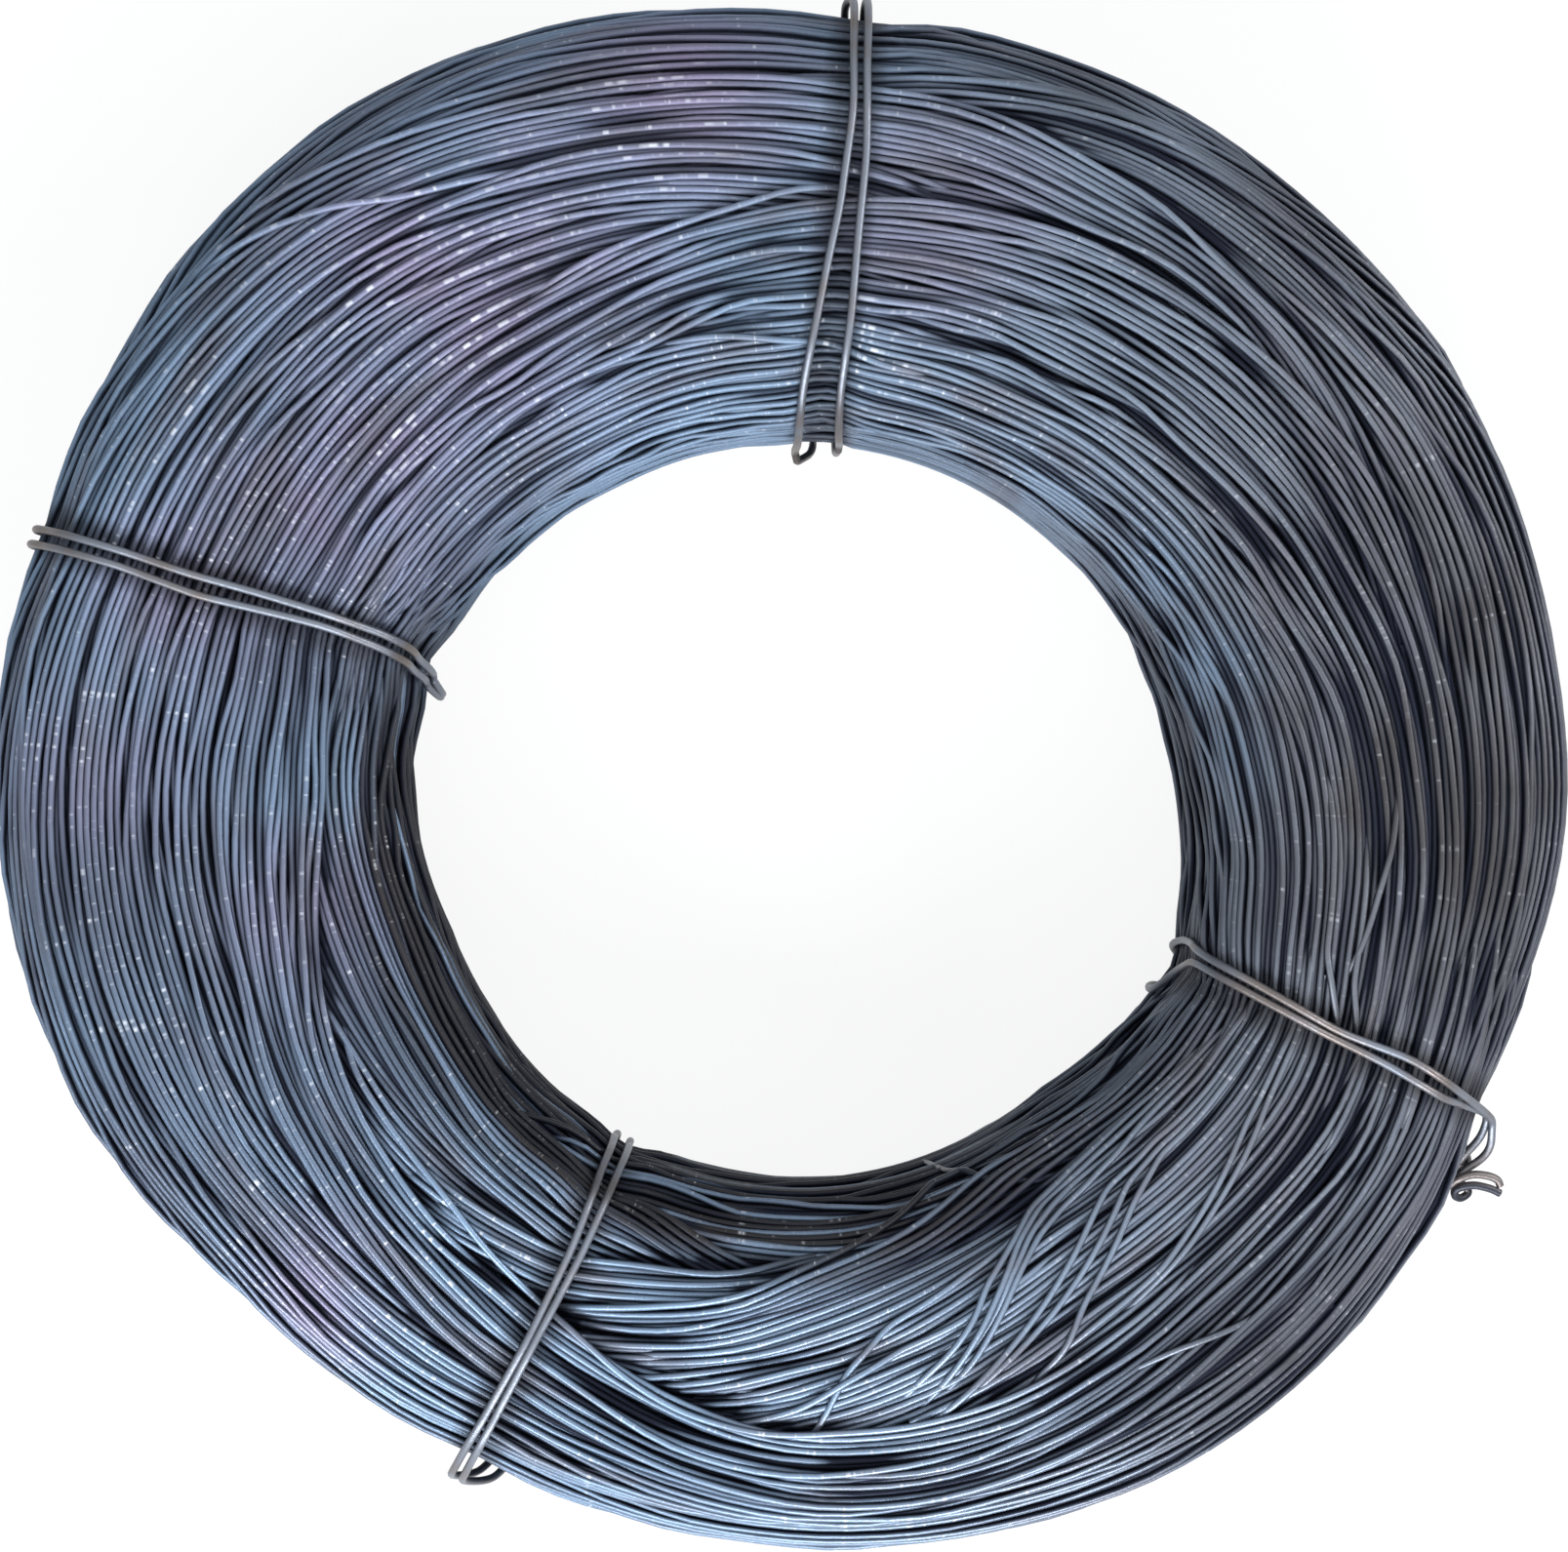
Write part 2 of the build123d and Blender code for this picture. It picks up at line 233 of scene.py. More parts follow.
Strand = namedtuple("Strand", "knots tail")
STRAND_STEPS = 420
STRAND_BLUR = 4.0
STRAND_REACH = 4  # a strand is drawn taut over the highest turns within this many steps
STRAND_COLUMNS = range(-1, 3)  # the columns and cells beside a strand whose turns hold it up
STRAND_CELLS = range(-3, 4)
TAUT_BLUR = 5.0
TAIL_DROP = 6  # the last steps of a strand, which give way to its tail
TAIL_STEP = 0.5
TAIL_BLUR = 4.0
CURVE_STEPS = 10
FIRST_UP = (0.3, 0.2, 1.0)  # a direction that no free line starts in
STRAND_TINT = 0.3  # what sets the second strand's colour apart from the first one's
END_TINT = 0.9
TIES = {
    "tie_back": [
        Strand([
            (0.0, 82.3, 1.0), (0.04, 82.5, 0.6), (0.13, 83.2, 0), (0.3, 83.0, 0), (0.5, 83.3, 0),
            (0.7, 83.4, 0), (0.9, 84.2, 0.6), (1.0, 84.6, 4.0), (1.06, 84.8, 2.0), (1.2, 84.6, 0),
            (1.5, 84.0, 0), (1.85, 83.0, 0), (2.0, 82.3, 1.0),
        ], []),
        Strand([
            (0.0, 89.6, 4.0), (0.02, 89.6, 2.4), (0.13, 88.7, 0), (0.32, 86.9, 0), (0.56, 85.4, 0),
            (0.8, 84.9, 0), (0.92, 85.3, 0.6), (1.0, 85.6, 4.0), (1.05, 86.2, 2.4), (1.2, 86.0, 0),
            (1.5, 86.5, 0), (1.9, 86.6, 0.5), (1.95, 87.4, 2.0), (2.0, 89.6, 4.0),
        ], []),
    ],
    "tie_left": [
        Strand([
            (0.0, 162.2, 2.5), (0.056, 159.7, 0), (0.13, 159.0, 0), (0.27, 159.2, 0), (0.46, 159.7, 0),
            (0.62, 160.2, 0), (0.8, 160.3, 0), (1.0, 161.0, 0.4), (1.5, 161.0, 0), (1.85, 162.5, 0),
            (1.93, 164.6, 3.0), (1.97, 164.8, 5.5), (2.0, 162.2, 2.5),
        ], []),
        Strand([
            (0.0, 163.6, 1.0), (0.044, 161.9, 0), (0.13, 160.8, 0), (0.27, 160.6, 0), (0.42, 161.2, 0),
            (0.58, 161.8, 0), (0.8, 161.5, 0), (1.0, 162.1, 0.4), (1.5, 162.4, 0), (1.85, 163.8, 0),
            (1.93, 165.2, 3.0), (1.97, 165.2, 4.5), (2.0, 163.6, 1.0),
        ], []),
    ],
    "tie_front_left": [
        Strand([
            (0.0, 242.7, 0.6), (0.1, 243.2, 0), (0.3, 244.2, 0), (0.6, 244.2, 0), (0.85, 243.8, 0),
            (0.95, 243.5, 2.0), (1.0, 243.4, 5.5), (1.06, 245.2, 3.5), (1.14, 246.0, 0.4), (1.5, 244.4, 0),
            (1.9, 243.0, 0), (2.0, 242.7, 0.6),
        ], []),
        Strand([
            (0.0, 245.3, 0.6), (0.1, 245.4, 0), (0.3, 245.5, 0), (0.6, 244.9, 0), (0.85, 244.6, 0),
            (0.95, 244.4, 2.0), (1.0, 244.3, 5.5), (1.06, 246.4, 3.5), (1.14, 247.2, 0.4), (1.5, 245.6, 0),
            (1.9, 245.2, 0), (2.0, 245.3, 0.6),
        ], []),
    ],
    "tie_front_right": [
        Strand([
            (1.01, 330.2, 1.2), (1.06, 331.0, 0.4), (1.2, 333.0, 0), (1.5, 334.0, 0), (1.85, 332.0, 0),
            (1.94, 330.6, 0.4), (2.0, 332.6, 2.6), (2.008, 335.0, 2.0), (2.056, 337.0, 0.3),
            (2.2, 336.2, 0), (2.44, 335.5, 0), (2.68, 335.3, 0), (2.9, 334.6, 0.2),
        ], [
            (160.2, -74.6, 57), (160.7, -76.8, 55), (160.3, -79.7, 54), (158.4, -82.6, 53),
            (156.1, -84.6, 53), (155.2, -86.3, 52), (155.2, -88.1, 51), (154.6, -89.8, 51),
        ]),
        Strand([
            (1.01, 330.6, 1.2), (1.06, 331.8, 0.4), (1.2, 334.2, 0), (1.5, 335.6, 0), (1.85, 337.0, 0),
            (1.96, 339.0, 0), (2.0, 339.2, 0.4), (2.044, 338.9, 0), (2.09, 338.1, 0), (2.2, 337.5, 0),
            (2.37, 336.7, 0), (2.51, 336.2, 0), (2.75, 336.6, 0), (2.9, 335.7, 0.6),
        ], [
            (161.3, -75.6, 58), (161.6, -78.2, 56), (162.2, -80.6, 55), (162.2, -82.6, 54),
            (161.2, -84.9, 53), (159.0, -86.6, 53), (156.7, -87.8, 53), (155.2, -89.0, 53),
            (154.0, -90.6, 53),
        ]),
    ],
}
KNOT_ENDS = [
    [
        (155.8, -87.2, 51.5), (153.6, -88.6, 52.6), (152.6, -90.4, 51.6), (152.4, -92.2, 52.4),
        (154.3, -90.3, 54.2), (157.8, -89.1, 54.6), (161.3, -89.4, 54.4), (163.6, -90.4, 54.0),
        (164.4, -91.8, 53.6),
    ],
    [
        (156.2, -88.2, 53.2), (155.0, -90.2, 51.0), (157.6, -93.4, 50.6), (156.1, -94.9, 51.0),
        (154.4, -94.5, 52.0), (154.0, -93.0, 53.2), (155.5, -92.0, 54.0), (158.4, -91.6, 54.4),
        (161.9, -92.4, 54.2), (164.3, -93.5, 53.8),
    ],
]

# Where three of the ties are closed by a twist on the lower outer rounding, and the form of a twist

TWIST_ANGLES = {"tie_back": 85.3, "tie_left": 161.6, "tie_front_left": 246.0}
TWIST_DOWN = 29.0  # how far below the middle of the outer side it lies, along the outline
TWIST_LENGTH = 12.0
TWIST_PITCH = 6.0
TWIST_TAIL = 4.0  # its two ends, which stand off the coil
TWIST_SPREAD = 2.5
TWIST_LIFT = 4 * TIE_R  # its middle above the turns
TWIST_STEPS = 80
TWIST_REACH = 6
TWIST_BLUR = 8.0

# Single wires that lie across the bands, as (angle, place) where place is counted as for the bands

LONE_WIRES = [
    [
        (244, 0.52), (250, 0.45), (256, 0.38), (265, 0.32), (270, 0.26), (275, 0.206), (281, 0.146),
        (287, 0.096), (291, 0.079), (297, 0.068), (305, 0.061), (320, 0.04), (334, 0.03),
    ],
    [
        (206, 0.34), (213, 0.37), (220, 0.385), (225, 0.395), (230, 0.41), (238, 0.464), (243, 0.5),
        (248, 0.554), (255, 0.626), (260, 0.674), (270, 0.7), (280, 0.69), (290, 0.668), (300, 0.626),
        (312, 0.6),
    ],
    [(82, 0.615), (90, 0.608), (95, 0.566), (103, 0.512), (110, 0.48), (120, 0.455)],
    [(70, 0.205), (75, 0.212), (83, 0.23), (88, 0.248), (97, 0.26), (108, 0.27)],
    [(112, 0.72), (117, 0.74), (124, 0.794), (129, 0.866), (135, 0.92), (142, 0.97)],
    [(340, 0.48), (344, 0.5), (350, 0.518), (355, 0.548), (362, 0.56)],
    [(298, 0.72), (302, 0.727), (305, 0.737), (307, 0.757), (309, 0.777), (314, 0.8)],
]
LOOSE_END = [
    (289.4, 0.0), (290.4, 0.019), (291.7, 0.038), (293.8, 0.073), (296.2, 0.116), (302, 0.17), (312, 0.2),
]
KINKED_WIRES = [
    [(268, 0.76), (272, 0.69), (275, 0.52), (280, 0.4), (290, 0.31), (300, 0.25), (312, 0.22)],
    [(258, 0.76), (265, 0.68), (270.4, 0.62), (275, 0.54), (281, 0.47), (292, 0.4), (302, 0.36)],
    [
        (286, 0.56), (290.9, 0.45), (294, 0.364), (298.4, 0.276), (301.8, 0.244), (306, 0.22),
        (312, 0.209), (325, 0.215), (338, 0.21),
    ],
    [
        (282, 0.66), (287.5, 0.55), (291.5, 0.45), (295.2, 0.36), (299, 0.295), (303, 0.255), (309, 0.225),
        (320, 0.205), (332, 0.2),
    ],
    [
        (280, 0.68), (284.8, 0.576), (289.3, 0.467), (292.6, 0.382), (296.7, 0.29), (300.8, 0.24),
        (310, 0.202), (322, 0.18), (334, 0.18),
    ],
    [
        (278, 0.66), (281.9, 0.571), (286, 0.498), (289, 0.434), (291.4, 0.36), (295.4, 0.301),
        (299.8, 0.236), (307, 0.197), (317.5, 0.167), (330, 0.16),
    ],
    [
        (279, 0.72), (283, 0.675), (287.4, 0.605), (294, 0.499), (298, 0.436), (305, 0.328),
        (308.4, 0.279), (316, 0.245), (325, 0.255), (338, 0.26),
    ],
    [
        (284, 0.66), (288.6, 0.594), (296.2, 0.5), (300.8, 0.439), (305.8, 0.369), (310.5, 0.302),
        (316, 0.27), (326, 0.265), (340, 0.275),
    ],
    [
        (289, 0.7), (292.8, 0.64), (296, 0.596), (299.5, 0.508), (304.8, 0.427), (309.7, 0.351),
        (315.5, 0.291), (325, 0.28), (340, 0.29),
    ],
    [(294, 0.61), (299.3, 0.575), (307.8, 0.534), (316.7, 0.463), (324, 0.405), (332, 0.37), (345, 0.35)],
    [
        (300, 0.6), (305.5, 0.558), (312.8, 0.516), (321.7, 0.455), (326.6, 0.421), (335, 0.385),
        (345, 0.365),
    ],
    [(332, 0.52), (337, 0.494), (339, 0.458), (343, 0.404), (352, 0.38), (364, 0.36)],
    [(332, 0.6), (336.6, 0.57), (341, 0.51), (348, 0.48), (358, 0.45)],
]

# Colours of the scale on the wire, and of the shade and light painted on it. Places are the middles of
# patches, as (x, y, reach).

BLUE_SCALE = (0.125, 0.185, 0.27)
VIOLET_SCALE = (0.2, 0.168, 0.262)
GREY_SCALE = (0.11, 0.118, 0.138)
# Near black brown: partly a brown tint of the scale, partly painted shade
BROWN_SCALE_AND_SHADE = (0.038, 0.036, 0.038)
DARK_SCALE = (0.054, 0.067, 0.1)
STREAK_SCALE = (0.085, 0.08, 0.095)
EDGE_TINT = (0.85, 0.9, 0.95)
# Painted shade: near black mixed into the grooves between the turns and into the undersides of the tie
# strands
PAINTED_DEEP_SHADE = (0.012, 0.014, 0.022)
# Painted shade in the bore on its south-west side, where the wall faces away from the light
PAINTED_BORE_SHADE = (0.015, 0.012, 0.011)
RUBBED_STEEL = (0.6, 0.62, 0.66)
TIE_GREY = (0.12, 0.133, 0.16)
TIE_BROWN = (0.1, 0.087, 0.085)
VIOLET_PLACES = [
    (-71, 114, 50), (-98, 68, 40), (-131, 35, 30), (-156, -2, 30), (-110, -35, 25), (36, 126, 28),
    (-24, 156, 32), (-105, -118, 22),
]
# Brown patches, partly brown scale and partly painted shade on the east side and on the north-east outer
# rim, which face away from the light
BROWN_AND_SHADE_PLACES = [
    (120, 5, 80), (160, -15, 60), (150, 40, 45), (128, 135, 32), (70, 170, 26), (110, -140, 40),
]
# Blue patches along the bore's north-east edge: blue scale, and partly painted light on that wall, which
# faces the light
BLUE_AND_LIT_PLACES = [
    (60, 61, 18), (78, 43, 18), (90, 22, 18), (95, 2, 16),
]
STROKE_PLACES = [
    (-91, 76, 15), (-75, 125, 26), (-124, 126, 13), (-136, 80, 15), (-95, 104, 14), (-72, 100, 14),
    (-30, 145, 20), (20, 95, 16),
]
DARK_PLACES = [
    (-165, -35, 65), (-150, -85, 50), (-120, -60, 50), (-110, 20, 35),
]
PATCH_REACH = (0.2, 1.2)  # where a patch begins to fade and where it ends, as shares of its reach
DARK_SHARE = 0.95
SECOND_LAYER = 0.35  # how much of its depth darkens a turn of the second layer with painted shade
SHADED_BORE_SIDE = 230.0  # the side of the bore where the painted shade is darkest
BORE_SHADE_REACH = (9.0, 24.0)  # where the painted shade outside the bore begins to fade and where it ends
BORE_SHADE_SHARE = 0.95
TIE_SHADE_REACH = (3.0, 7.5)  # the same for the painted shade beside a tie
TIE_SHADE_SHARE = 0.65

# How fine the marks are, per metre or round the coil

PATCH_SCALE = 22.0
CLUSTER_SCALE = 16.0
DASH_SCALE = 700.0
STROKE_SCALE = 300.0
ROW_ROUND = 75.0
ROW_ACROSS = 45.0
STREAK_ROUND = 3.0
STREAK_ACROSS = 110.0
TIE_PATCH_SCALE = 60.0
GRAIN_SCALE = 1400.0
PLAIN = 1.0  # detail of a noise
MEDIUM = 2.0
DETAILED = 3.0
WIRE_METALLIC = 0.4
TIE_METALLIC = 0.6
WIRE_BUMP = 0.25
TIE_BUMP = 0.3
BUMP_HEIGHT = 0.00015  # metres
MIX_INPUTS = (0, 6, 7)  # sockets of a mix node: its share and its two colours, and the mixed colour
MIX_OUTPUT = 2

# Ranges that the looks follow: two values, and what is given at each of them. Places are in metres.

RAGGED = (0.3, 0.55, 0.3, 1.0)
GREY_TO_RIGHT = (-0.02, 0.14, 0.0, 1.0)
STREAKED = (0.5, 0.66, 0.0, 0.7)
SHADED = (0.0, 1.0, 0.0, 0.35)
# Which side of the bore and which of its wires get the painted shade
BORE_SHADE_SIDED = (-0.03, 0.05, 0.0, 1.0)
BORE_SHADED_WIRES = (0.68, 0.76, 1.0, 0.08)
SIDE_OF_TIE = (0.0, 0.05, 0.0, 1.0)
# Painted shade in the grooves: by depth, weaker towards the back, stronger towards the right
GROOVE_SHADED = (0.15, 1.05, 0.0, 1.0)
GROOVE_SHADE_BACK = (0.0, 0.12, 1.0, 0.75)
GROOVE_SHADE_RIGHT = (0.0, 0.12, 1.0, 1.7)
CLUSTERED = (0.45, 0.68, 0.0, 0.6)
DASHED = (0.63, 0.7, 0.0, 1.0)
IN_ROWS = (0.66, 0.74, 0.0, 0.6)
ROW_DASHED = (0.4, 0.55, 0.0, 1.0)
STROKED = (0.56, 0.64, 0.0, 0.8)
ON_CRESTS = (0.08, 0.3, 1.0, 0.0)
ON_TOP = (0.045, 0.065, 0.35, 1.0)
RUBBED_LEFT = (0.0, 0.09, 1.0, 0.4)
WIRE_ROUGH = (0.3, 0.7, 0.34, 0.48)
SATIN_BACK = (-0.12, 0.12, -0.09, 0.2)
DULLED = (0.0, 1.0, 1.0, 0.3)
SHINE = (0.15, 0.9, 0.5, 0.0)
TIE_PATCHY = (0.45, 0.65, 0.0, 1.0)
TIE_ENDS = (0.5, 0.9, 0.0, 1.0)
# Painted shade on the undersides of the tie strands
TIE_UNDERSIDE_SHADED = (0.4, 1.6, 0.0, 1.0)
TIE_ROUGH = (0.3, 0.7, 0.36, 0.5)

# Floor and light, in metres and watts

WHITE = (1.0, 1.0, 1.0)
FLOOR_GREY = (0.8, 0.8, 0.8)
FLOOR_ROUGH = 0.9
FLOOR_SIZE = 40.0
FADE_FROM = 0.3  # how far from the middle the floor begins to fade into the white background, and ends
FADE_TO = 1.2
FLOOR_GLOW = 0.88  # how much of the floor's white near the coil doesn't come from the lamps
WORLD_TINT = (0.86, 0.92, 1.0)
WORLD_LIGHT = 0.15
NEUTRAL = (0.97, 0.98, 1.0)
COOL = (0.93, 0.97, 1.0)
LAMP_AIM = (0, 0, 0.03)
Lamp = namedtuple("Lamp", "name place power size colour")
LAMPS = [
    Lamp("right", (0.7, 0.15, 0.45), 5.5, 0.4, NEUTRAL),
    Lamp("front", (0.12, -0.68, 0.5), 11.0, 0.4, NEUTRAL),
    Lamp("left", (-0.38, -0.58, 0.5), 7.5, 0.4, COOL),
    Lamp("back", (0.1, 0.65, 0.8), 5.0, 1.3, COOL),
    Lamp("top", (-0.1, -0.1, 1.2), 2.5, 0.8, COOL),
]


def blurred(values, width):
    """Values smoothed over a bell of this width, in steps. The ends are carried on."""
    reach = max(1, int(math.ceil(BELL_REACH * width)))
    bell = np.exp(-0.5 * (np.arange(-reach, reach + 1) / width) ** 2)
    bell /= bell.sum()
    return np.convolve(np.pad(values, reach, mode="edge"), bell, mode="valid")


def blurred_round(values, width):
    """The same for values that run round the coil."""
    count = len(values)
    return blurred(np.tile(values, 3), width)[count : 2 * count]


def blurred_grid(grid, columns, cells):
    """A grid over the whole coil, smoothed over bells of these widths."""
    made = np.apply_along_axis(blurred_round, 0, grid, columns)
    return np.apply_along_axis(blurred_round, 1, made, cells)


def round_the_coil(pairs):
    """A value for each column, from pairs of an angle and a value."""
    angles = np.arange(COLUMNS) * COLUMN_ANGLE
    known = np.array(pairs, float)
    values = np.interp(angles, known[:, 0], known[:, 1], period=360.0)
    return blurred_round(values, EDGE_BLUR / COLUMN_ANGLE)


def near_ties():
    """1 at a tie and 0 away from it, for each column."""
    angles = np.arange(COLUMNS) * COLUMN_ANGLE
    near = np.zeros(COLUMNS)
    for tie in TIE_ANGLES:
        away = (angles - tie + 180.0) % 360.0 - 180.0
        near = np.maximum(near, np.exp(-0.5 * (away / PINCH_ANGLE) ** 2))
    return near


def lengths_along(points):
    """How far each point of a line lies from its start."""
    return np.append(0.0, np.cumsum(np.linalg.norm(np.diff(points, axis=0), axis=1)))


def quarter_bend(centre, radii, start):
    """Points of a quarter of an ellipse, clockwise from this angle, without its last point."""
    turn = np.radians(np.linspace(start, start - 90.0, BEND_STEPS, endpoint=False))
    return np.column_stack([centre[0] + radii[0] * np.cos(turn), centre[1] + radii[1] * np.sin(turn)])


def section_outline():
    """Outline of the round coil's section: from the middle of the bore wall up, over the top and round."""
    middle = HEIGHT / 2
    in_x = BORE_R + BORE_BEND[0]
    out_x = OUTER_R - OUTER_BEND[0]
    points = np.vstack([
        [[BORE_R, middle]],
        quarter_bend((in_x, HEIGHT - BORE_BEND[1]), BORE_BEND, 180.0),
        quarter_bend((out_x, HEIGHT - OUTER_BEND[1]), OUTER_BEND, 90.0),
        [[OUTER_R, HEIGHT - OUTER_BEND[1]], [OUTER_R, middle]],
        quarter_bend((out_x, OUTER_BEND[1]), OUTER_BEND, 0.0),
        quarter_bend((in_x, BORE_BEND[1]), BORE_BEND, -90.0),
        [[BORE_R, BORE_BEND[1]], [BORE_R, middle]],
    ])
    steps = np.hypot(*np.diff(points, axis=0).T)
    points = points[np.append(True, steps > SAME)]
    steps = np.hypot(*np.diff(points, axis=0).T)
    return np.append(0.0, np.cumsum(steps)), points


along_outline, outline = section_outline()
CELLS = int(round(along_outline[-1] / CELL))
along_outline *= CELLS * CELL / along_outline[-1]
GIRTH = CELLS * CELL

places = np.arange(CELLS) * CELL
outline_x = np.interp(places, along_outline, outline[:, 0])
outline_z = np.interp(places, along_outline, outline[:, 1])
run_x = blurred_round(np.gradient(np.append(outline_x, outline_x[0]))[:CELLS], RUN_BLUR)
run_z = blurred_round(np.gradient(np.append(outline_z, outline_z[0]))[:CELLS], RUN_BLUR)
run_size = np.hypot(run_x, run_z)
run_x /= run_size
run_z /= run_size

# The place at half height on the outer side, and the shares of the places that the camera sees from above

lower_side = (outline[:, 0] > OUTER_R - SAME) & (outline[:, 1] <= HEIGHT / 2)
OUTER_PLACE = float(along_outline[np.argmax(lower_side)])
seen_x = outline_x * (CAMERA_HEIGHT - HEIGHT / 2) / (CAMERA_HEIGHT - outline_z)
top_places = places[: int(np.argmax(seen_x[: int(OUTER_PLACE / CELL)])) + 1]
rising_x = seen_x[: len(top_places)] + RISING * top_places
top_shares = (rising_x - seen_x.min()) / (rising_x[-1] - seen_x.min())

# The uneven coil: its edges for each column, and how much wider it and its cells are than on the round one

pinch = near_ties()
edge_in = BORE_R + round_the_coil(INNER_SHIFT) + TIE_RECESS * pinch
edge_out = OUTER_R + round_the_coil(OUTER_SHIFT) - TIE_PINCH * pinch
edge_low = TIE_RECESS * pinch
edge_high = HEIGHT - TIE_PINCH * pinch
wide = (edge_out - edge_in) / (OUTER_R - BORE_R)
tall = (edge_high - edge_low) / HEIGHT
cell_stretch = np.sqrt((wide[:, None] * run_x[None, :]) ** 2 + (tall[:, None] * run_z[None, :]) ** 2)


def rate_at(share):
    """How fast the place along the outline changes with the share."""
    near = np.interp([share - RATE_STEP, share + RATE_STEP], top_shares, top_places)
    return (near[1] - near[0]) / (2 * RATE_STEP)


def place_of(share):
    """Place along the section's outline, from a share between the bore and the outer edge."""
    inside = np.interp(np.clip(share, EDGE_SHARE, 1.0 - EDGE_SHARE), top_shares, top_places)
    into_bore = rate_at(EDGE_SHARE) * np.minimum(share - EDGE_SHARE, 0.0)
    over_edge = rate_at(1.0 - EDGE_SHARE) * np.maximum(share - 1.0 + EDGE_SHARE, 0.0)
    return inside + into_bore + over_edge


def round_place(share):
    """Place along the whole outline: shares 0 to 1 go over the top, and 1 to 2 back under the foot."""
    rest = share % 2.0
    over = np.interp(np.minimum(rest, 1.0), top_shares, top_places)
    under = (GIRTH - top_places[-1]) * np.maximum(rest - 1.0, 0.0)
    return over + under + GIRTH * np.floor(share / 2.0)


def nearest_cell(place):
    """The cell nearest to a place along the outline."""
    return np.round(place / CELL).astype(int) % CELLS


def at_cells(values, place):
    """Values along the outline, read at places between its cells."""
    cell = (place / CELL) % CELLS
    low = np.floor(cell).astype(int) % CELLS
    part = cell - np.floor(cell)
    return values[low] * (1 - part) + values[(low + 1) % CELLS] * part


def at_columns(values, column):
    """Values round the coil, read between its columns."""
    low = np.floor(column).astype(int)
    part = column - low
    return values[low % COLUMNS] * (1 - part) + values[(low + 1) % COLUMNS] * part


def out_of_bore(points, closest):
    """Points moved away from the bore's axis where they are nearer to it than this."""
    beside = points[:, :2] - BORE_AXIS
    distance = np.linalg.norm(beside, axis=1)
    points[:, :2] = BORE_AXIS + beside * (np.maximum(distance, closest) / distance)[:, None]
    return points


def on_coil(column, place, lift, closest=BORE_R + WIRE_R, radius_below=WIRE_R):
    """Points lifted off the uneven coil's surface, and the surface's outward directions there."""
    stretch_x = at_columns(wide, column)
    stretch_z = at_columns(tall, column)
    out_x = -at_cells(run_z, place) * stretch_z
    out_z = at_cells(run_x, place) * stretch_x
    size = np.hypot(out_x, out_z)
    out_x /= size
    out_z /= size
    radius = at_columns(edge_in, column) + (at_cells(outline_x, place) - BORE_R) * stretch_x + lift * out_x
    height = at_columns(edge_low, column) + at_cells(outline_z, place) * stretch_z + lift * out_z
    height = np.maximum(height, radius_below + FLOOR_GAP)
    turn = np.radians(column * COLUMN_ANGLE)
    x = RING_AXIS[0] + radius * np.cos(turn)
    y = RING_AXIS[1] + radius * np.sin(turn)
    outward = np.column_stack([out_x * np.cos(turn), out_x * np.sin(turn), out_z])
    return out_of_bore(np.column_stack([x, y, height]), closest), outward


Wire = namedtuple("Wire", "columns place lift closed layer tint fine")


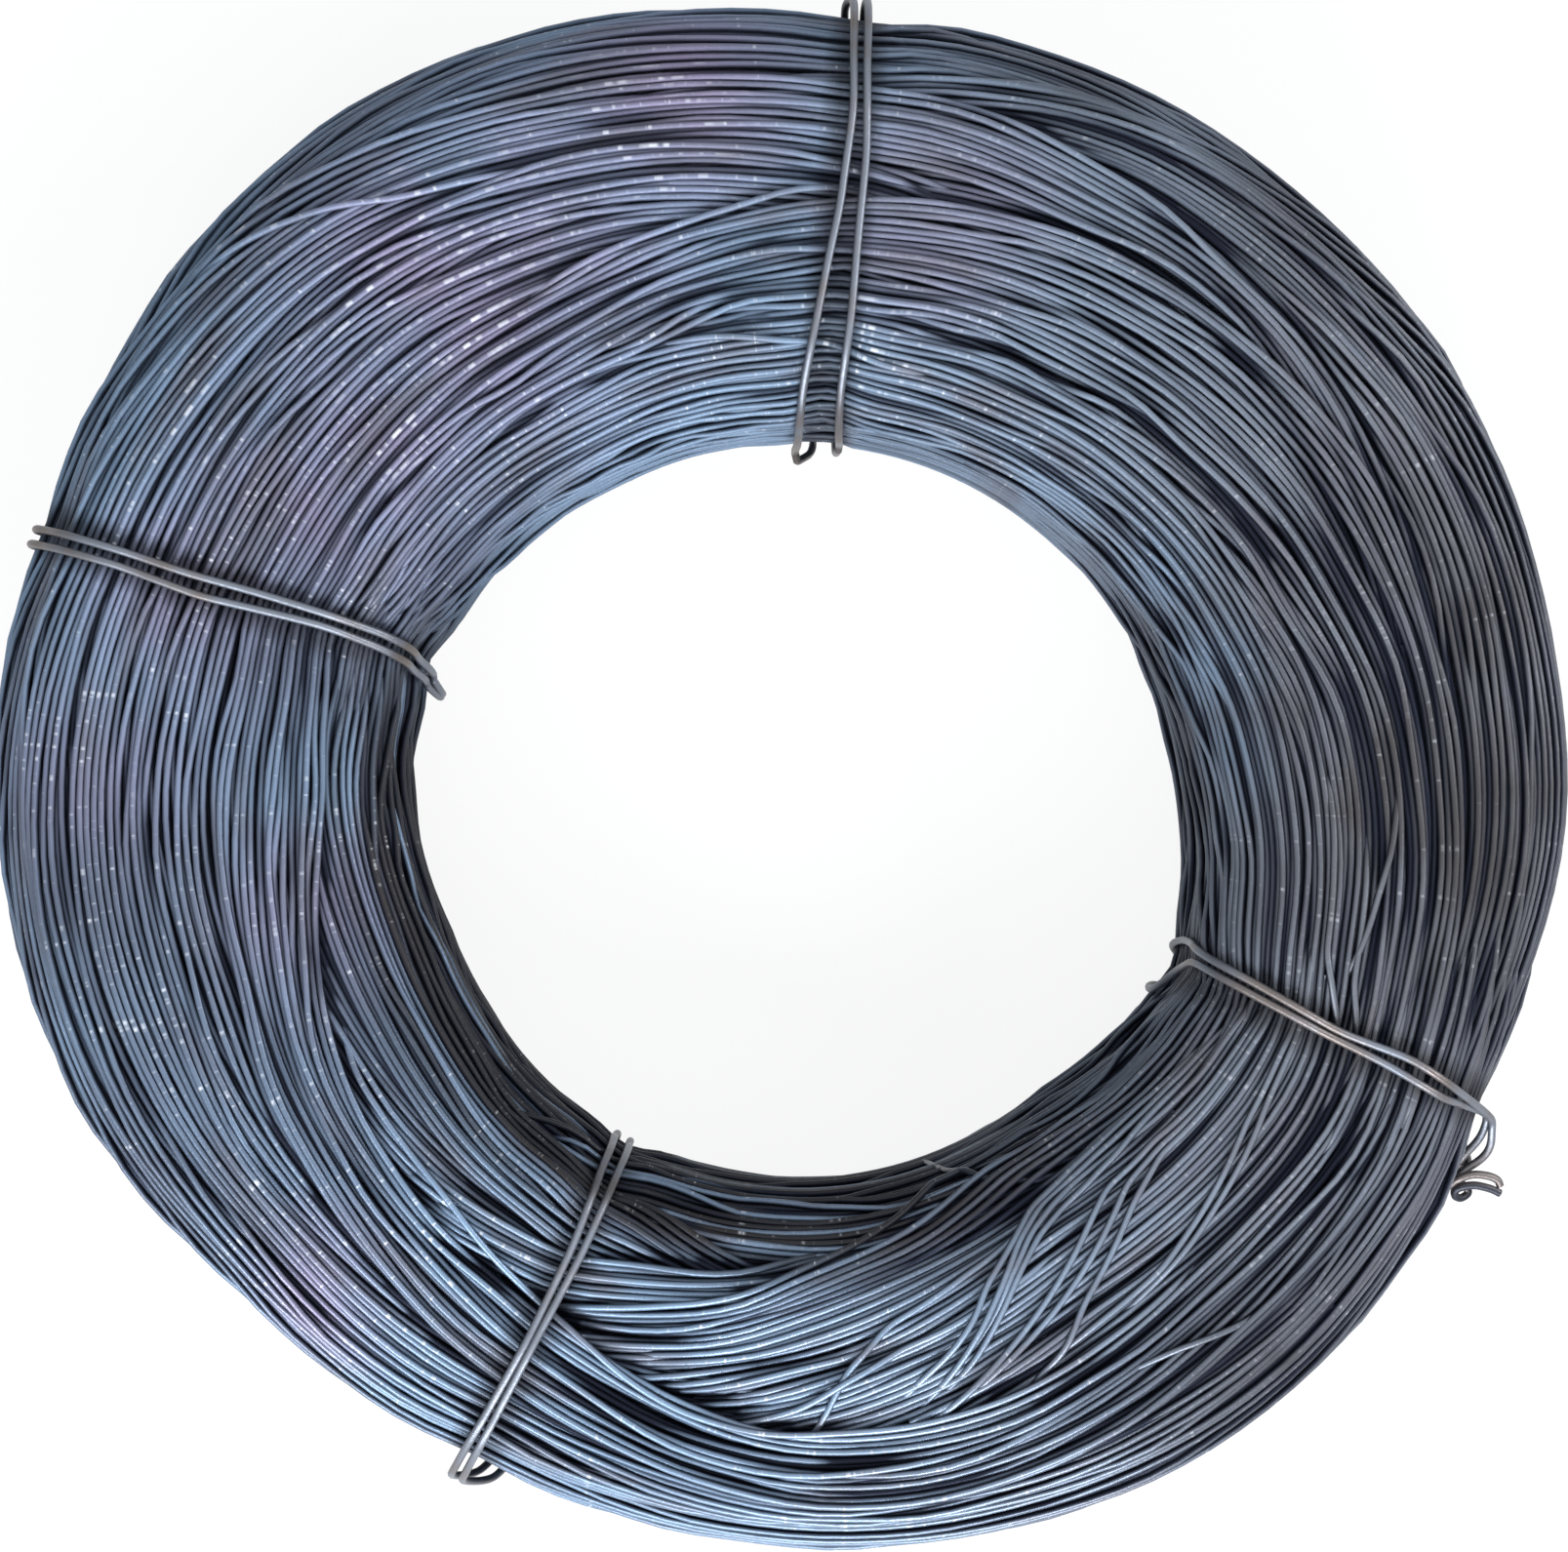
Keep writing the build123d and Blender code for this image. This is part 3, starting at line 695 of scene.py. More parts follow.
class Heap:
    """The turns laid so far, with the height where the next one would come to rest at each place."""

    def __init__(self, level):
        self.rest = level.copy()
        self.skin = self.rest - 2 * WIRE_R
        self.ground = self.skin.copy()
        self.level = level - SINK
        self.wires = []
        self.fresh = []

    def raise_to(self, grid, columns, place, lift, reach):
        """Raises a grid to a round bar of this radius along the wire."""
        spread = int(reach / CELL / NARROWEST_CELL) + 1
        nearest = np.round(place / CELL).astype(int)
        cells = nearest[:, None] + np.arange(-spread, spread + 1)[None, :]
        rows = np.repeat((columns % COLUMNS)[:, None], cells.shape[1], axis=1)
        apart = (cells * CELL - place[:, None]) * cell_stretch[rows, cells % CELLS]
        bulge = reach**2 - apart**2
        height = np.where(bulge > 0, lift[:, None] + np.sqrt(np.maximum(bulge, 0)), FAR_BELOW)
        grid[rows, cells % CELLS] = np.maximum(grid[rows, cells % CELLS], height)

    def rest_at(self, columns, place):
        """Height where a wire would rest at each point of its way."""
        cell = place / CELL
        low = np.floor(cell).astype(int)
        part = cell - low
        rows = columns % COLUMNS
        return self.rest[rows, low % CELLS] * (1 - part) + self.rest[rows, (low + 1) % CELLS] * part

    def settled(self, columns, place, closed):
        """The wire's way once it has slid aside into the grooves next to it."""
        blur = blurred_round if closed else blurred
        shifts = np.arange(-SLIDE_CELLS, SLIDE_CELLS + 1) * CELL
        costs = [blur(self.rest_at(columns, place + s), SLIDE_BLUR) + SLIDE_COST * s**2 for s in shifts]
        return place + blur(shifts[np.argmin(costs, axis=0)], WAY_BLUR)

    def rest_along(self, columns, place, closed):
        """Height of a taut wire that rests on the turns below it."""
        rest = self.rest_at(columns, place)
        count = len(rest)
        if closed:
            rest = np.tile(rest, 3)
        slope = CLIMB * COLUMN_STEP * np.arange(len(rest))
        ahead = np.maximum.accumulate(rest + slope) - slope
        behind = np.maximum.accumulate(rest[::-1] + slope)[::-1] - slope[::-1]
        lift = blurred(np.maximum(ahead, behind), CLIMB_BLUR)
        return lift[count : 2 * count] if closed else lift

    def lay(self, columns, place, closed, layer, tint, fine=False, free=False):
        """Lays a wire on the turns below it. Its ends dive between them, but not a free first end."""
        place = self.settled(columns, place, closed)
        lift = self.rest_along(columns, place, closed)
        lift = np.maximum(lift, self.level[columns % COLUMNS, nearest_cell(place)])
        if not closed:
            from_end = np.arange(len(lift))[::-1]
            from_end = from_end if free else np.minimum(from_end, from_end[::-1])
            lift = lift - DIVE * np.maximum(0.0, 1.0 - from_end / DIVE_COLUMNS) ** 2
        self.raise_to(self.rest, columns, place, lift, 2 * WIRE_R * PRESSED)
        self.raise_to(self.skin, columns, place, lift, WIRE_R)
        if layer != "single":
            self.raise_to(self.ground, columns, place, lift, WIRE_R)
        self.wires.append(Wire(columns, place, lift, closed, layer, tint, fine))
        self.fresh.append(self.wires[-1])

    def end_bundle(self):
        """Gives the turns laid since the last bundle their full thickness for the next ones."""
        for wire in self.fresh:
            self.raise_to(self.rest, wire.columns, wire.place, wire.lift, 2 * WIRE_R)
        self.fresh = []

    def end_band(self):
        """Takes the turns laid since the last band as the ground for the next one."""
        self.end_bundle()
        self.level = blurred_grid(self.rest, LEVEL_ANGLE / COLUMN_ANGLE, LEVEL_WIDTH / CELL) - SINK


def wander(rng, angles, sizes):
    """Slow waves round the coil, one for each size."""
    waves = np.zeros(len(angles))
    for number, size in enumerate(sizes, start=1):
        waves += rng.normal(0, size) * np.sin(np.radians(number * angles) + rng.uniform(0, 2 * math.pi))
    return waves


def fill_up(heap, rng):
    """Lays loose bundles of turns at the lowest places until they have risen far enough all round."""
    columns = np.arange(COLUMNS)
    angles = columns * COLUMN_ANGLE
    goal = heap.rest.mean(axis=0) + FILL_RISE
    for _ in range(MOST_BUNDLES):
        short = goal - blurred_round(heap.rest.mean(axis=0), FILL_BLUR / CELL)
        if short.max() < FILL_SHORT:
            break
        start = places[rng.choice(np.argsort(short)[-FILL_CHOICE:])]
        turns = rng.integers(*BUNDLE_TURNS)
        shared = wander(rng, angles, BUNDLE_WAVES)
        pitch = 2 * WIRE_R * rng.uniform(*BUNDLE_PITCH)
        spread = 1.0 + wander(rng, angles, SPREAD_WAVES)
        for turn in range(turns):
            own = wander(rng, angles, LOOSE_WAVES)
            place = start + shared + (turn - turns / 2) * pitch * spread + own
            heap.lay(columns, place, True, "under", rng.random())
        heap.end_bundle()


def columns_between(first, last):
    """The columns from one angle to another."""
    return np.arange(int(first / COLUMN_ANGLE), int(last / COLUMN_ANGLE) + 1)


def along_path(knots, angles, blur):
    """Values at these angles, from knots of an angle and a value, with rounded changes."""
    known = np.array(knots, float)
    return blurred(np.interp(angles, known[:, 0], known[:, 1]), blur / COLUMN_ANGLE)


def lay_band(heap, rng, band):
    """Lays the turns of a band in small groups that drift together, in no order."""
    columns = columns_between(band.edges[0][0], band.edges[-1][0])
    angles = columns * COLUMN_ANGLE
    low = along_path([(angle, inner) for angle, inner, outer in band.edges], angles, BAND_BLUR)
    high = along_path([(angle, outer) for angle, inner, outer in band.edges], angles, BAND_BLUR)
    cover = along_path(FAN_COVER, angles, BAND_BLUR) + HIDDEN
    turns = []
    group_end = 0
    for turn in range(band.turns):
        if turn >= group_end:
            group_end = turn + rng.integers(*GROUP_TURNS)
            drift = wander(rng, angles, GROUP_WAVES)
        share = low + (high - low) * (turn + 0.5 + rng.uniform(-TURN_SHIFT, TURN_SHIFT)) / band.turns
        own = wander(rng, angles, TURN_WAVES)
        start = int(np.argmax(share < cover)) if band.name == "fan" else 0
        turns.append((place_of(share) + drift + own, start))
    for turn in rng.permutation(band.turns):
        place, start = turns[turn]
        kept = slice(start + rng.integers(0, END_SCATTER), len(columns) - rng.integers(0, END_SCATTER))
        heap.lay(columns[kept], place[kept], False, band.name, rng.random())


def lay_single(heap, knots, blur, free=False):
    """Lays a single wire through its knots."""
    columns = columns_between(knots[0][0], knots[-1][0])
    place = place_of(along_path(knots, columns * COLUMN_ANGLE, blur))
    heap.lay(columns, place, False, "single", 0.0, fine=True, free=free)


def laid_coil():
    """The whole coil: loose turns below, the named bands over them, single wires on top."""
    rng = np.random.default_rng(SEED)
    heap = Heap(np.full((COLUMNS, CELLS), -FILL_RISE))
    fill_up(heap, rng)
    heap.end_band()
    for band in BANDS:
        lay_band(heap, rng, band)
        heap.end_band()
        if band.name == "crossing":
            lay_single(heap, LOOSE_END, LOOSE_BLUR, free=True)
        if band.name == "fan":
            for knots in KINKED_WIRES:
                lay_single(heap, knots, KINK_BLUR)
            heap.end_band()
    for knots in LONE_WIRES:
        lay_single(heap, knots, LONE_BLUR)
    return heap


def evened_out(heap):
    """Lowers the turns where many lie over each other. Gives the level that the filling began at."""
    too_high = blurred_grid(heap.skin, EVEN_ANGLE / COLUMN_ANGLE, EVEN_WIDTH / CELL)
    lowered = []
    for wire in heap.wires:
        lift = wire.lift - too_high[wire.columns % COLUMNS, nearest_cell(wire.place)]
        lowered.append(wire._replace(lift=lift))
    heap.wires = lowered
    heap.skin -= too_high
    heap.ground -= too_high
    return -FILL_RISE - too_high


def lowest_nearby(grid, columns, cells):
    """The lowest value of a grid within a few columns and cells."""
    low = grid
    for axis, reach in ((1, cells), (0, columns)):
        kept = low
        for shift in range(1, reach + 1):
            low = np.minimum(low, np.minimum(np.roll(kept, shift, axis), np.roll(kept, -shift, axis)))
    return low


def shown_runs(wire, lowest_skin):
    """Stretches of a wire that aren't buried, as lists of indices, and whether they are closed."""
    shown = wire.lift + WIRE_R > lowest_skin[wire.columns % COLUMNS, nearest_cell(wire.place)] - BURIED
    count = len(shown)
    if wire.closed:
        shown = np.tile(shown, 3)
    grown = np.convolve(shown, np.ones(GROWN_COLUMNS), mode="same") > 0.5
    kept = np.convolve(~grown, np.ones(TRIMMED_COLUMNS), mode="same") < 0.5
    if wire.closed:
        kept = kept[count : 2 * count]
    if kept.all():
        return [(np.arange(count), wire.closed)]
    if not kept.any():
        return []
    order = np.arange(count)
    if wire.closed:
        order = np.roll(order, -int(np.argmin(kept)))
    flags = np.concatenate([[False], kept[order], [False]]).astype(int)
    starts = np.flatnonzero(np.diff(flags) == 1)
    ends = np.flatnonzero(np.diff(flags) == -1)
    return [(order[a:b], False) for a, b in zip(starts, ends) if b - a > SHORTEST_RUN]


def ring_quads(rings, sides, closed):
    """Corners of the faces between the rings of a tube."""
    here = np.arange(rings if closed else rings - 1)[:, None]
    there = (here + 1) % rings
    left = np.arange(sides)[None, :]
    right = (left + 1) % sides
    corners = [here * sides + left, there * sides + left, there * sides + right, here * sides + right]
    return np.stack(corners, -1).reshape(-1, 4)


def ring_places(length, sides):
    """Places of the same corners on a strip: along the tube, and round it from 0 to 1."""
    start, end = length[:-1, None], length[1:, None]
    left = np.arange(sides)[None, :] / sides
    right = (np.arange(sides)[None, :] + 1) / sides
    flat = np.zeros((len(start), sides))
    corners = [(start, left), (end, left), (end, right), (start, right)]
    return np.stack([np.stack([u + flat, v + flat], -1) for u, v in corners], 2).reshape(-1, 2)


def placed(name, data):
    """A new object in the scene."""
    made = bpy.data.objects.new(name, data)
    bpy.context.scene.collection.objects.link(made)
    return made


class Tubes:
    """Meshes of many tubes, gathered as arrays."""

    def __init__(self):
        self.points, self.quads, self.caps, self.strips = [], [], [], []
        self.marks = {"tint": [], "along": [], "depth": []}
        self.count = 0

    def triangles(self):
        """How many triangles the tubes have so far."""
        return 2 * sum(len(q) for q in self.quads) + sum((c.shape[1] - 2) * len(c) for c in self.caps)

    def add(self, centres, outward, radius, sides, closed, tint, sunk=0.0):
        """Adds one tube along its centres. It lies sunk this far below the turns beside it."""
        rings = len(centres)
        if closed:
            run = np.roll(centres, -1, 0) - np.roll(centres, 1, 0)
        else:
            run = np.gradient(centres, axis=0)
        run /= np.linalg.norm(run, axis=1)[:, None]
        across = np.cross(run, outward)
        across /= np.linalg.norm(across, axis=1)[:, None]
        up = np.cross(across, run)
        turn = 2 * math.pi * np.arange(sides) / sides
        ring = up[:, None, :] * np.cos(turn)[None, :, None]
        ring += across[:, None, :] * np.sin(turn)[None, :, None]
        length = lengths_along(np.vstack([centres, centres[:1]]) if closed else centres)
        below = radius * (1.0 - np.cos(turn))
        self.points.append((centres[:, None, :] + ring * radius).reshape(-1, 3))
        self.quads.append(ring_quads(rings, sides, closed) + self.count)
        self.strips.append(ring_places(length, sides))
        self.marks["tint"].append(np.full(rings * sides, tint))
        self.marks["along"].append(np.repeat(length[:rings], sides) / METRE)
        self.marks["depth"].append((np.zeros((rings, 1)) + np.reshape(sunk, (-1, 1)) + below).ravel())
        if not closed:
            first = np.arange(sides)[::-1]
            last = (rings - 1) * sides + np.arange(sides)
            self.caps.append(np.stack([first, last]) + self.count)
        self.count += rings * sides

    def piece(self, name, material):
        """One mesh object of all the tubes, with a map that gives each tube a strip of its own."""
        quads = np.concatenate(self.quads)
        caps = np.concatenate(self.caps) if self.caps else np.zeros((0, 3), int)
        longest = max(strip[:, 0].max() for strip in self.strips)
        places_on_map = []
        for row, strip in enumerate(self.strips):
            beside = row + STRIP_MARGIN + (1 - 2 * STRIP_MARGIN) * strip[:, 1]
            places_on_map.append(np.column_stack([strip[:, 0] / longest, beside / len(self.strips)]))
        places_on_map.append(np.zeros((caps.size, 2)))
        mesh = bpy.data.meshes.new(name)
        mesh.vertices.add(self.count)
        mesh.vertices.foreach_set("co", (np.concatenate(self.points) / METRE).ravel())
        loops = np.concatenate([quads.ravel(), caps.ravel()])
        mesh.loops.add(len(loops))
        mesh.loops.foreach_set("vertex_index", loops)
        sizes = np.concatenate([np.full(len(quads), 4), np.full(len(caps), caps.shape[1])])
        mesh.polygons.add(len(sizes))
        mesh.polygons.foreach_set("loop_start", np.append(0, np.cumsum(sizes)[:-1]))
        mesh.update(calc_edges=True)
        mesh.polygons.foreach_set("use_smooth", np.arange(len(sizes)) < len(quads))
        mesh.uv_layers.new(name="OFBake").data.foreach_set("uv", np.concatenate(places_on_map).ravel())
        for mark, values in self.marks.items():
            mesh.attributes.new(mark, "FLOAT", "POINT").data.foreach_set("value", np.concatenate(values))
        mesh.materials.append(material)
        mesh.validate()
        return placed(name, mesh)


def shaded_depth(sunk):
    """How deep a wire counts as lying for its painted shade: little in the second layer, fully below it."""
    return SECOND_LAYER * np.maximum(sunk, 0.0) + (1.0 - SECOND_LAYER) * np.maximum(sunk - 2 * WIRE_R, 0.0)


def wire_pieces(heap, material):
    """The shown turns of the coil, as pieces that stay below the limit of triangles."""
    lowest_skin = lowest_nearby(heap.skin, NEAR_COLUMNS, NEAR_CELLS)
    highest_ground = -lowest_nearby(-heap.ground, NEAR_COLUMNS, SHADE_CELLS)
    gathered = {}
    for wire in heap.wires:
        for order, closed in shown_runs(wire, lowest_skin):
            kept = order[:: 1 if wire.fine else RING_STEP]
            if not closed and kept[-1] != order[-1]:
                kept = np.append(kept, order[-1])
            columns, place, lift = wire.columns[kept], wire.place[kept], wire.lift[kept]
            centres, outward = on_coil(columns.astype(float), place, lift)
            sunk = highest_ground[columns % COLUMNS, nearest_cell(place)] - lift - WIRE_R
            tubes = gathered.setdefault(wire.layer, [Tubes()])
            if tubes[-1].triangles() > MOST_TRIANGLES:
                tubes.append(Tubes())
            tubes[-1].add(centres, outward, WIRE_R, WIRE_SIDES, closed, wire.tint, shaded_depth(sunk))
    made = []
    for layer, parts in gathered.items():
        for number, tubes in enumerate(parts, start=1):
            made.append(tubes.piece(f"turns_{layer}_{number}", material))
    return made


def core_piece(level, material):
    """A closed ring below the shown turns, which stands for the turns further in."""
    column = np.repeat(np.arange(CORE_RINGS) * COLUMNS / CORE_RINGS, CORE_SIDES)
    place = np.tile(np.arange(CORE_SIDES) * GIRTH / CORE_SIDES, CORE_RINGS)
    lift = level[column.astype(int), nearest_cell(place)] - WIRE_R
    points = on_coil(column, place, lift)[0]
    mesh = bpy.data.meshes.new("turns_core")
    mesh.from_pydata(points / METRE, [], ring_quads(CORE_RINGS, CORE_SIDES, True)[:, ::-1])
    mesh.materials.append(material)
    mesh.validate()
    return placed("turns_core", mesh)


def skin_near(heap, column, place):
    """The highest turn within a strand's width of each point."""
    highest = np.full(len(column), FAR_BELOW)
    for shift in STRAND_COLUMNS:
        rows = (np.floor(column).astype(int) + shift) % COLUMNS
        for aside in STRAND_CELLS:
            cells = (np.round(place / CELL).astype(int) + aside) % CELLS
            highest = np.maximum(highest, heap.skin[rows, cells])
    return highest


def running_max(values, reach):
    """The highest value within this many steps."""
    padded = np.pad(values, reach, mode="edge")
    return np.max([padded[i : i + len(values)] for i in range(2 * reach + 1)], axis=0)


def strand_points(heap, knots):
    """Centres of a strand drawn taut over the turns, apart from the slack that its knots give it."""
    known = np.array(knots, float)
    known_places = round_place(known[:, 0])
    place = np.linspace(known_places[0], known_places[-1], STRAND_STEPS)
    angle = blurred(np.interp(place, known_places, known[:, 1]), STRAND_BLUR)
    slack = blurred(np.interp(place, known_places, known[:, 2]), STRAND_BLUR)
    column = angle / COLUMN_ANGLE
    lift = running_max(skin_near(heap, column, place), STRAND_REACH) + TIE_R
    return on_coil(column, place, blurred(lift, TAUT_BLUR) + slack, closest=0.0, radius_below=TIE_R)


def curve_through(points):
    """A smooth line through a few points."""
    known = np.array(points, float)
    line = np.vstack([2 * known[0] - known[1], known, 2 * known[-1] - known[-2]])
    made = []
    for i in range(1, len(line) - 2):
        p0, p1, p2, p3 = line[i - 1 : i + 3]
        for t in np.arange(CURVE_STEPS) / CURVE_STEPS:
            made.append(0.5 * (2 * p1 + (p2 - p0) * t + (2 * p0 - 5 * p1 + 4 * p2 - p3) * t**2
                               + (3 * p1 - p0 - 3 * p2 + p3) * t**3))
    made.append(line[-2])
    return np.array(made)


def beside_ring(points):
    """Points that are given about the ring's axis, in the part's frame."""
    return np.array(points) + np.append(RING_AXIS, 0.0)


def with_tail(points, tail):
    """A strand's centres, carried on through its free tail."""
    free = curve_through(np.vstack([points[-TAIL_DROP - 1], beside_ring(tail)]))
    joined = np.vstack([points[:-TAIL_DROP], free[CURVE_STEPS // 2 :]])
    along = lengths_along(joined)
    wanted = np.arange(0.0, along[-1], TAIL_STEP)
    even = [np.interp(wanted, along, joined[:, axis]) for axis in range(3)]
    return np.column_stack([blurred(values, TAIL_BLUR) for values in even])


def steady_outward(centres):
    """Directions across a free line that turn as little as possible from point to point."""
    run = np.gradient(centres, axis=0)
    run /= np.linalg.norm(run, axis=1)[:, None]
    across = np.cross(run[0], FIRST_UP)
    made = []
    for step in run:
        across = across - step * np.dot(across, step)
        across /= np.linalg.norm(across)
        made.append(across)
    return np.array(made)


def twist_lines(heap, angle):
    """Centres of the two wire ends that are twisted round each other to close a tie."""
    along = np.linspace(0.0, TWIST_LENGTH + TWIST_TAIL, TWIST_STEPS)
    twisted = np.minimum(along, TWIST_LENGTH)
    tail = np.maximum(along - TWIST_LENGTH, 0.0) / TWIST_TAIL
    turn = 2 * math.pi * twisted / TWIST_PITCH + math.pi / 2
    place = OUTER_PLACE + TWIST_DOWN + TWIST_LENGTH / 2 - twisted
    column = np.full(len(along), angle / COLUMN_ANGLE)
    skin = blurred(running_max(skin_near(heap, column, place), TWIST_REACH), TWIST_BLUR)
    column_width = math.radians(COLUMN_ANGLE) * OUTER_R
    lines = []
    for side in (-1.0, 1.0):
        aside = side * (TIE_R * np.sin(turn) + TWIST_SPREAD * tail**2)
        off = side * TIE_R * np.cos(turn) + TWIST_TAIL * tail
        lines.append(on_coil(column + aside / column_width, place, skin + TWIST_LIFT + off)[0])
    return lines


def tie_piece(heap, node, material):
    """One tie: its strands over the coil, and the lines of its twisted or loose ends."""
    tubes = Tubes()
    for number, strand in enumerate(TIES[node]):
        points, outward = strand_points(heap, strand.knots)
        if strand.tail:
            points = with_tail(points, strand.tail)
            tubes.add(points, steady_outward(points), TIE_R, TIE_SIDES, False, STRAND_TINT * number)
        else:
            tubes.add(points[:-1], outward[:-1], TIE_R, TIE_SIDES, True, STRAND_TINT * number)
    if node in TWIST_ANGLES:
        loose = twist_lines(heap, TWIST_ANGLES[node])
    else:
        loose = [curve_through(beside_ring(end)) for end in KNOT_ENDS]
    for points in loose:
        tubes.add(points, steady_outward(points), TIE_R, TIE_SIDES, False, END_TINT)
    return tubes.piece(node.replace("tie", "binding"), material)


class Look:
    """The nodes of a material or of the world, and how they are joined."""

    def __init__(self, tree):
        self.nodes = tree.nodes
        self.links = tree.links

    def feed(self, socket, value):
        """Gives a socket a number, a place or a colour, or joins another node's output to it."""
        if isinstance(value, bpy.types.NodeSocket):
            self.links.new(value, socket)
        elif socket.type == "RGBA":
            socket.default_value = (*value, 1.0)
        else:
            socket.default_value = value

    def node(self, kind, *values, operation=None):
        """A new node, with values for its first sockets."""
        made = self.nodes.new("ShaderNode" + kind)
        if operation:
            made.operation = operation
        for socket, value in zip(made.inputs, values):
            self.feed(socket, value)
        return made

    def joined(self, operation, *values):
        """Values joined one after the other by an operation."""
        made = values[0]
        for value in values[1:]:
            made = self.node("Math", made, value, operation=operation).outputs["Value"]
        return made

    def vector(self, operation, *values):
        """A vector made from vectors."""
        return self.node("VectorMath", *values, operation=operation).outputs["Vector"]

    def measure(self, operation, *values):
        """A number made from vectors."""
        return self.node("VectorMath", *values, operation=operation).outputs["Value"]

    def ranged(self, value, low, high, at_low, at_high):
        """A value moved from one range to another, and kept within it."""
        return self.node("MapRange", value, low, high, at_low, at_high).outputs["Result"]

    def noise(self, where, scale, detail):
        """A noise over places, from 0 to 1."""
        made = self.node("TexNoise", where)
        made.inputs["Scale"].default_value = scale
        made.inputs["Detail"].default_value = detail
        return made.outputs["Fac"]

    def mark(self, name):
        """A value that the mesh holds for each of its points."""
        made = self.node("Attribute")
        made.attribute_name = name
        return made.outputs["Fac"]

    def mixed(self, share, first, second):
        """Two colours mixed by a share."""
        made = self.node("Mix")
        made.data_type = "RGBA"
        for socket, value in zip(MIX_INPUTS, (share, first, second)):
            self.feed(made.inputs[socket], value)
        return made.outputs[MIX_OUTPUT]

    def bump(self, shader, height, strength):
        """Gives a shader a fine bump."""
        made = self.node("Bump")
        made.inputs["Strength"].default_value = strength
        made.inputs["Distance"].default_value = BUMP_HEIGHT
        self.feed(made.inputs["Height"], height)
        self.feed(shader.inputs["Normal"], made.outputs["Normal"])


def new_material(name):
    """A material, its look and its shader."""
    material = bpy.data.materials.new(name)
    material.use_nodes = True
    look = Look(material.node_tree)
    return material, look, look.nodes["Principled BSDF"]


def beside_axis(look, where, axis):
    """Where a place lies beside an upright axis, as a vector and as a distance."""
    beside = look.vector("MULTIPLY_ADD", where, (1, 1, 0), (-axis[0] / METRE, -axis[1] / METRE, 0))
    return beside, look.measure("LENGTH", beside)


def ahead_of(look, beside, angle):
    """How far a place lies ahead in the direction of an angle."""
    turn = math.radians(angle)
    return look.measure("DOT_PRODUCT", beside, (math.cos(turn), math.sin(turn), 0))


def round_places(look, where, round_scale, across_scale):
    """Places counted round the coil and across it, so that marks can follow the turns."""
    beside, away = beside_axis(look, where, RING_AXIS)
    across = look.node("CombineXYZ", 0.0, 0.0, look.joined("MULTIPLY", away, across_scale)).outputs[0]
    direction = look.vector("NORMALIZE", beside)
    return look.vector("MULTIPLY_ADD", direction, (round_scale, round_scale, 0), across)


def patches_at(look, where, uneven, spots):
    """Soft patches round a few places, with uneven edges."""
    patches = []
    for x, y, reach in spots:
        away = look.measure("DISTANCE", where, (x / METRE, y / METRE, HEIGHT / METRE))
        fade = [share * reach / METRE for share in PATCH_REACH]
        patches.append(look.ranged(away, *fade, 1.0, 0.0))
    return look.joined("MULTIPLY", look.joined("MAXIMUM", *patches), look.ranged(uneven, *RAGGED))


def rubbed_marks(look, where, uneven):
    """Bright marks along the crests of the wires: dashes, rows across the turns, and longer strokes."""
    spot = look.node("CombineXYZ", look.mark("along"), look.mark("tint")).outputs[0]
    fine = look.noise(spot, DASH_SCALE, PLAIN)
    clusters = look.ranged(look.noise(where, CLUSTER_SCALE, DETAILED), *CLUSTERED)
    dashes = look.joined("MULTIPLY", look.ranged(fine, *DASHED), clusters)
    across = look.noise(round_places(look, where, ROW_ROUND, ROW_ACROSS), 1.0, PLAIN)
    rows = look.joined("MULTIPLY", look.ranged(across, *IN_ROWS), look.ranged(fine, *ROW_DASHED))
    stroked = look.ranged(look.noise(spot, STROKE_SCALE, PLAIN), *STROKED)
    strokes = look.joined("MULTIPLY", stroked, patches_at(look, where, uneven, STROKE_PLACES))
    marks = look.joined("MAXIMUM", dashes, rows, strokes)
    split = look.node("SeparateXYZ", where).outputs
    crests = look.ranged(look.mark("depth"), *ON_CRESTS)
    upper = look.ranged(split["Z"], *ON_TOP)
    return look.joined("MULTIPLY", marks, crests, upper, look.ranged(split["X"], *RUBBED_LEFT))


def bore_shade(look, where):
    """Painted shade on the wall of the bore and its rounding, on one side of the coil."""
    beside, away = beside_axis(look, where, BORE_AXIS)
    fade = [(BORE_R + reach) / METRE for reach in BORE_SHADE_REACH]
    near = look.ranged(away, *fade, BORE_SHADE_SHARE, 0.0)
    sided = look.ranged(ahead_of(look, beside, SHADED_BORE_SIDE), *BORE_SHADE_SIDED)
    return look.joined("MULTIPLY", near, sided, look.ranged(look.mark("tint"), *BORE_SHADED_WIRES))


def tie_shade(look, where):
    """Painted shade on the turns right beside the ties."""
    beside = beside_axis(look, where, RING_AXIS)[0]
    fade = [(reach / METRE) ** 2 for reach in TIE_SHADE_REACH]
    stripes = []
    for angle in TIE_ANGLES:
        aside = ahead_of(look, beside, angle + 90.0)
        near = look.ranged(look.joined("MULTIPLY", aside, aside), *fade, TIE_SHADE_SHARE, 0.0)
        sided = look.ranged(ahead_of(look, beside, angle), *SIDE_OF_TIE)
        stripes.append(look.joined("MULTIPLY", near, sided))
    return look.joined("MAXIMUM", *stripes)


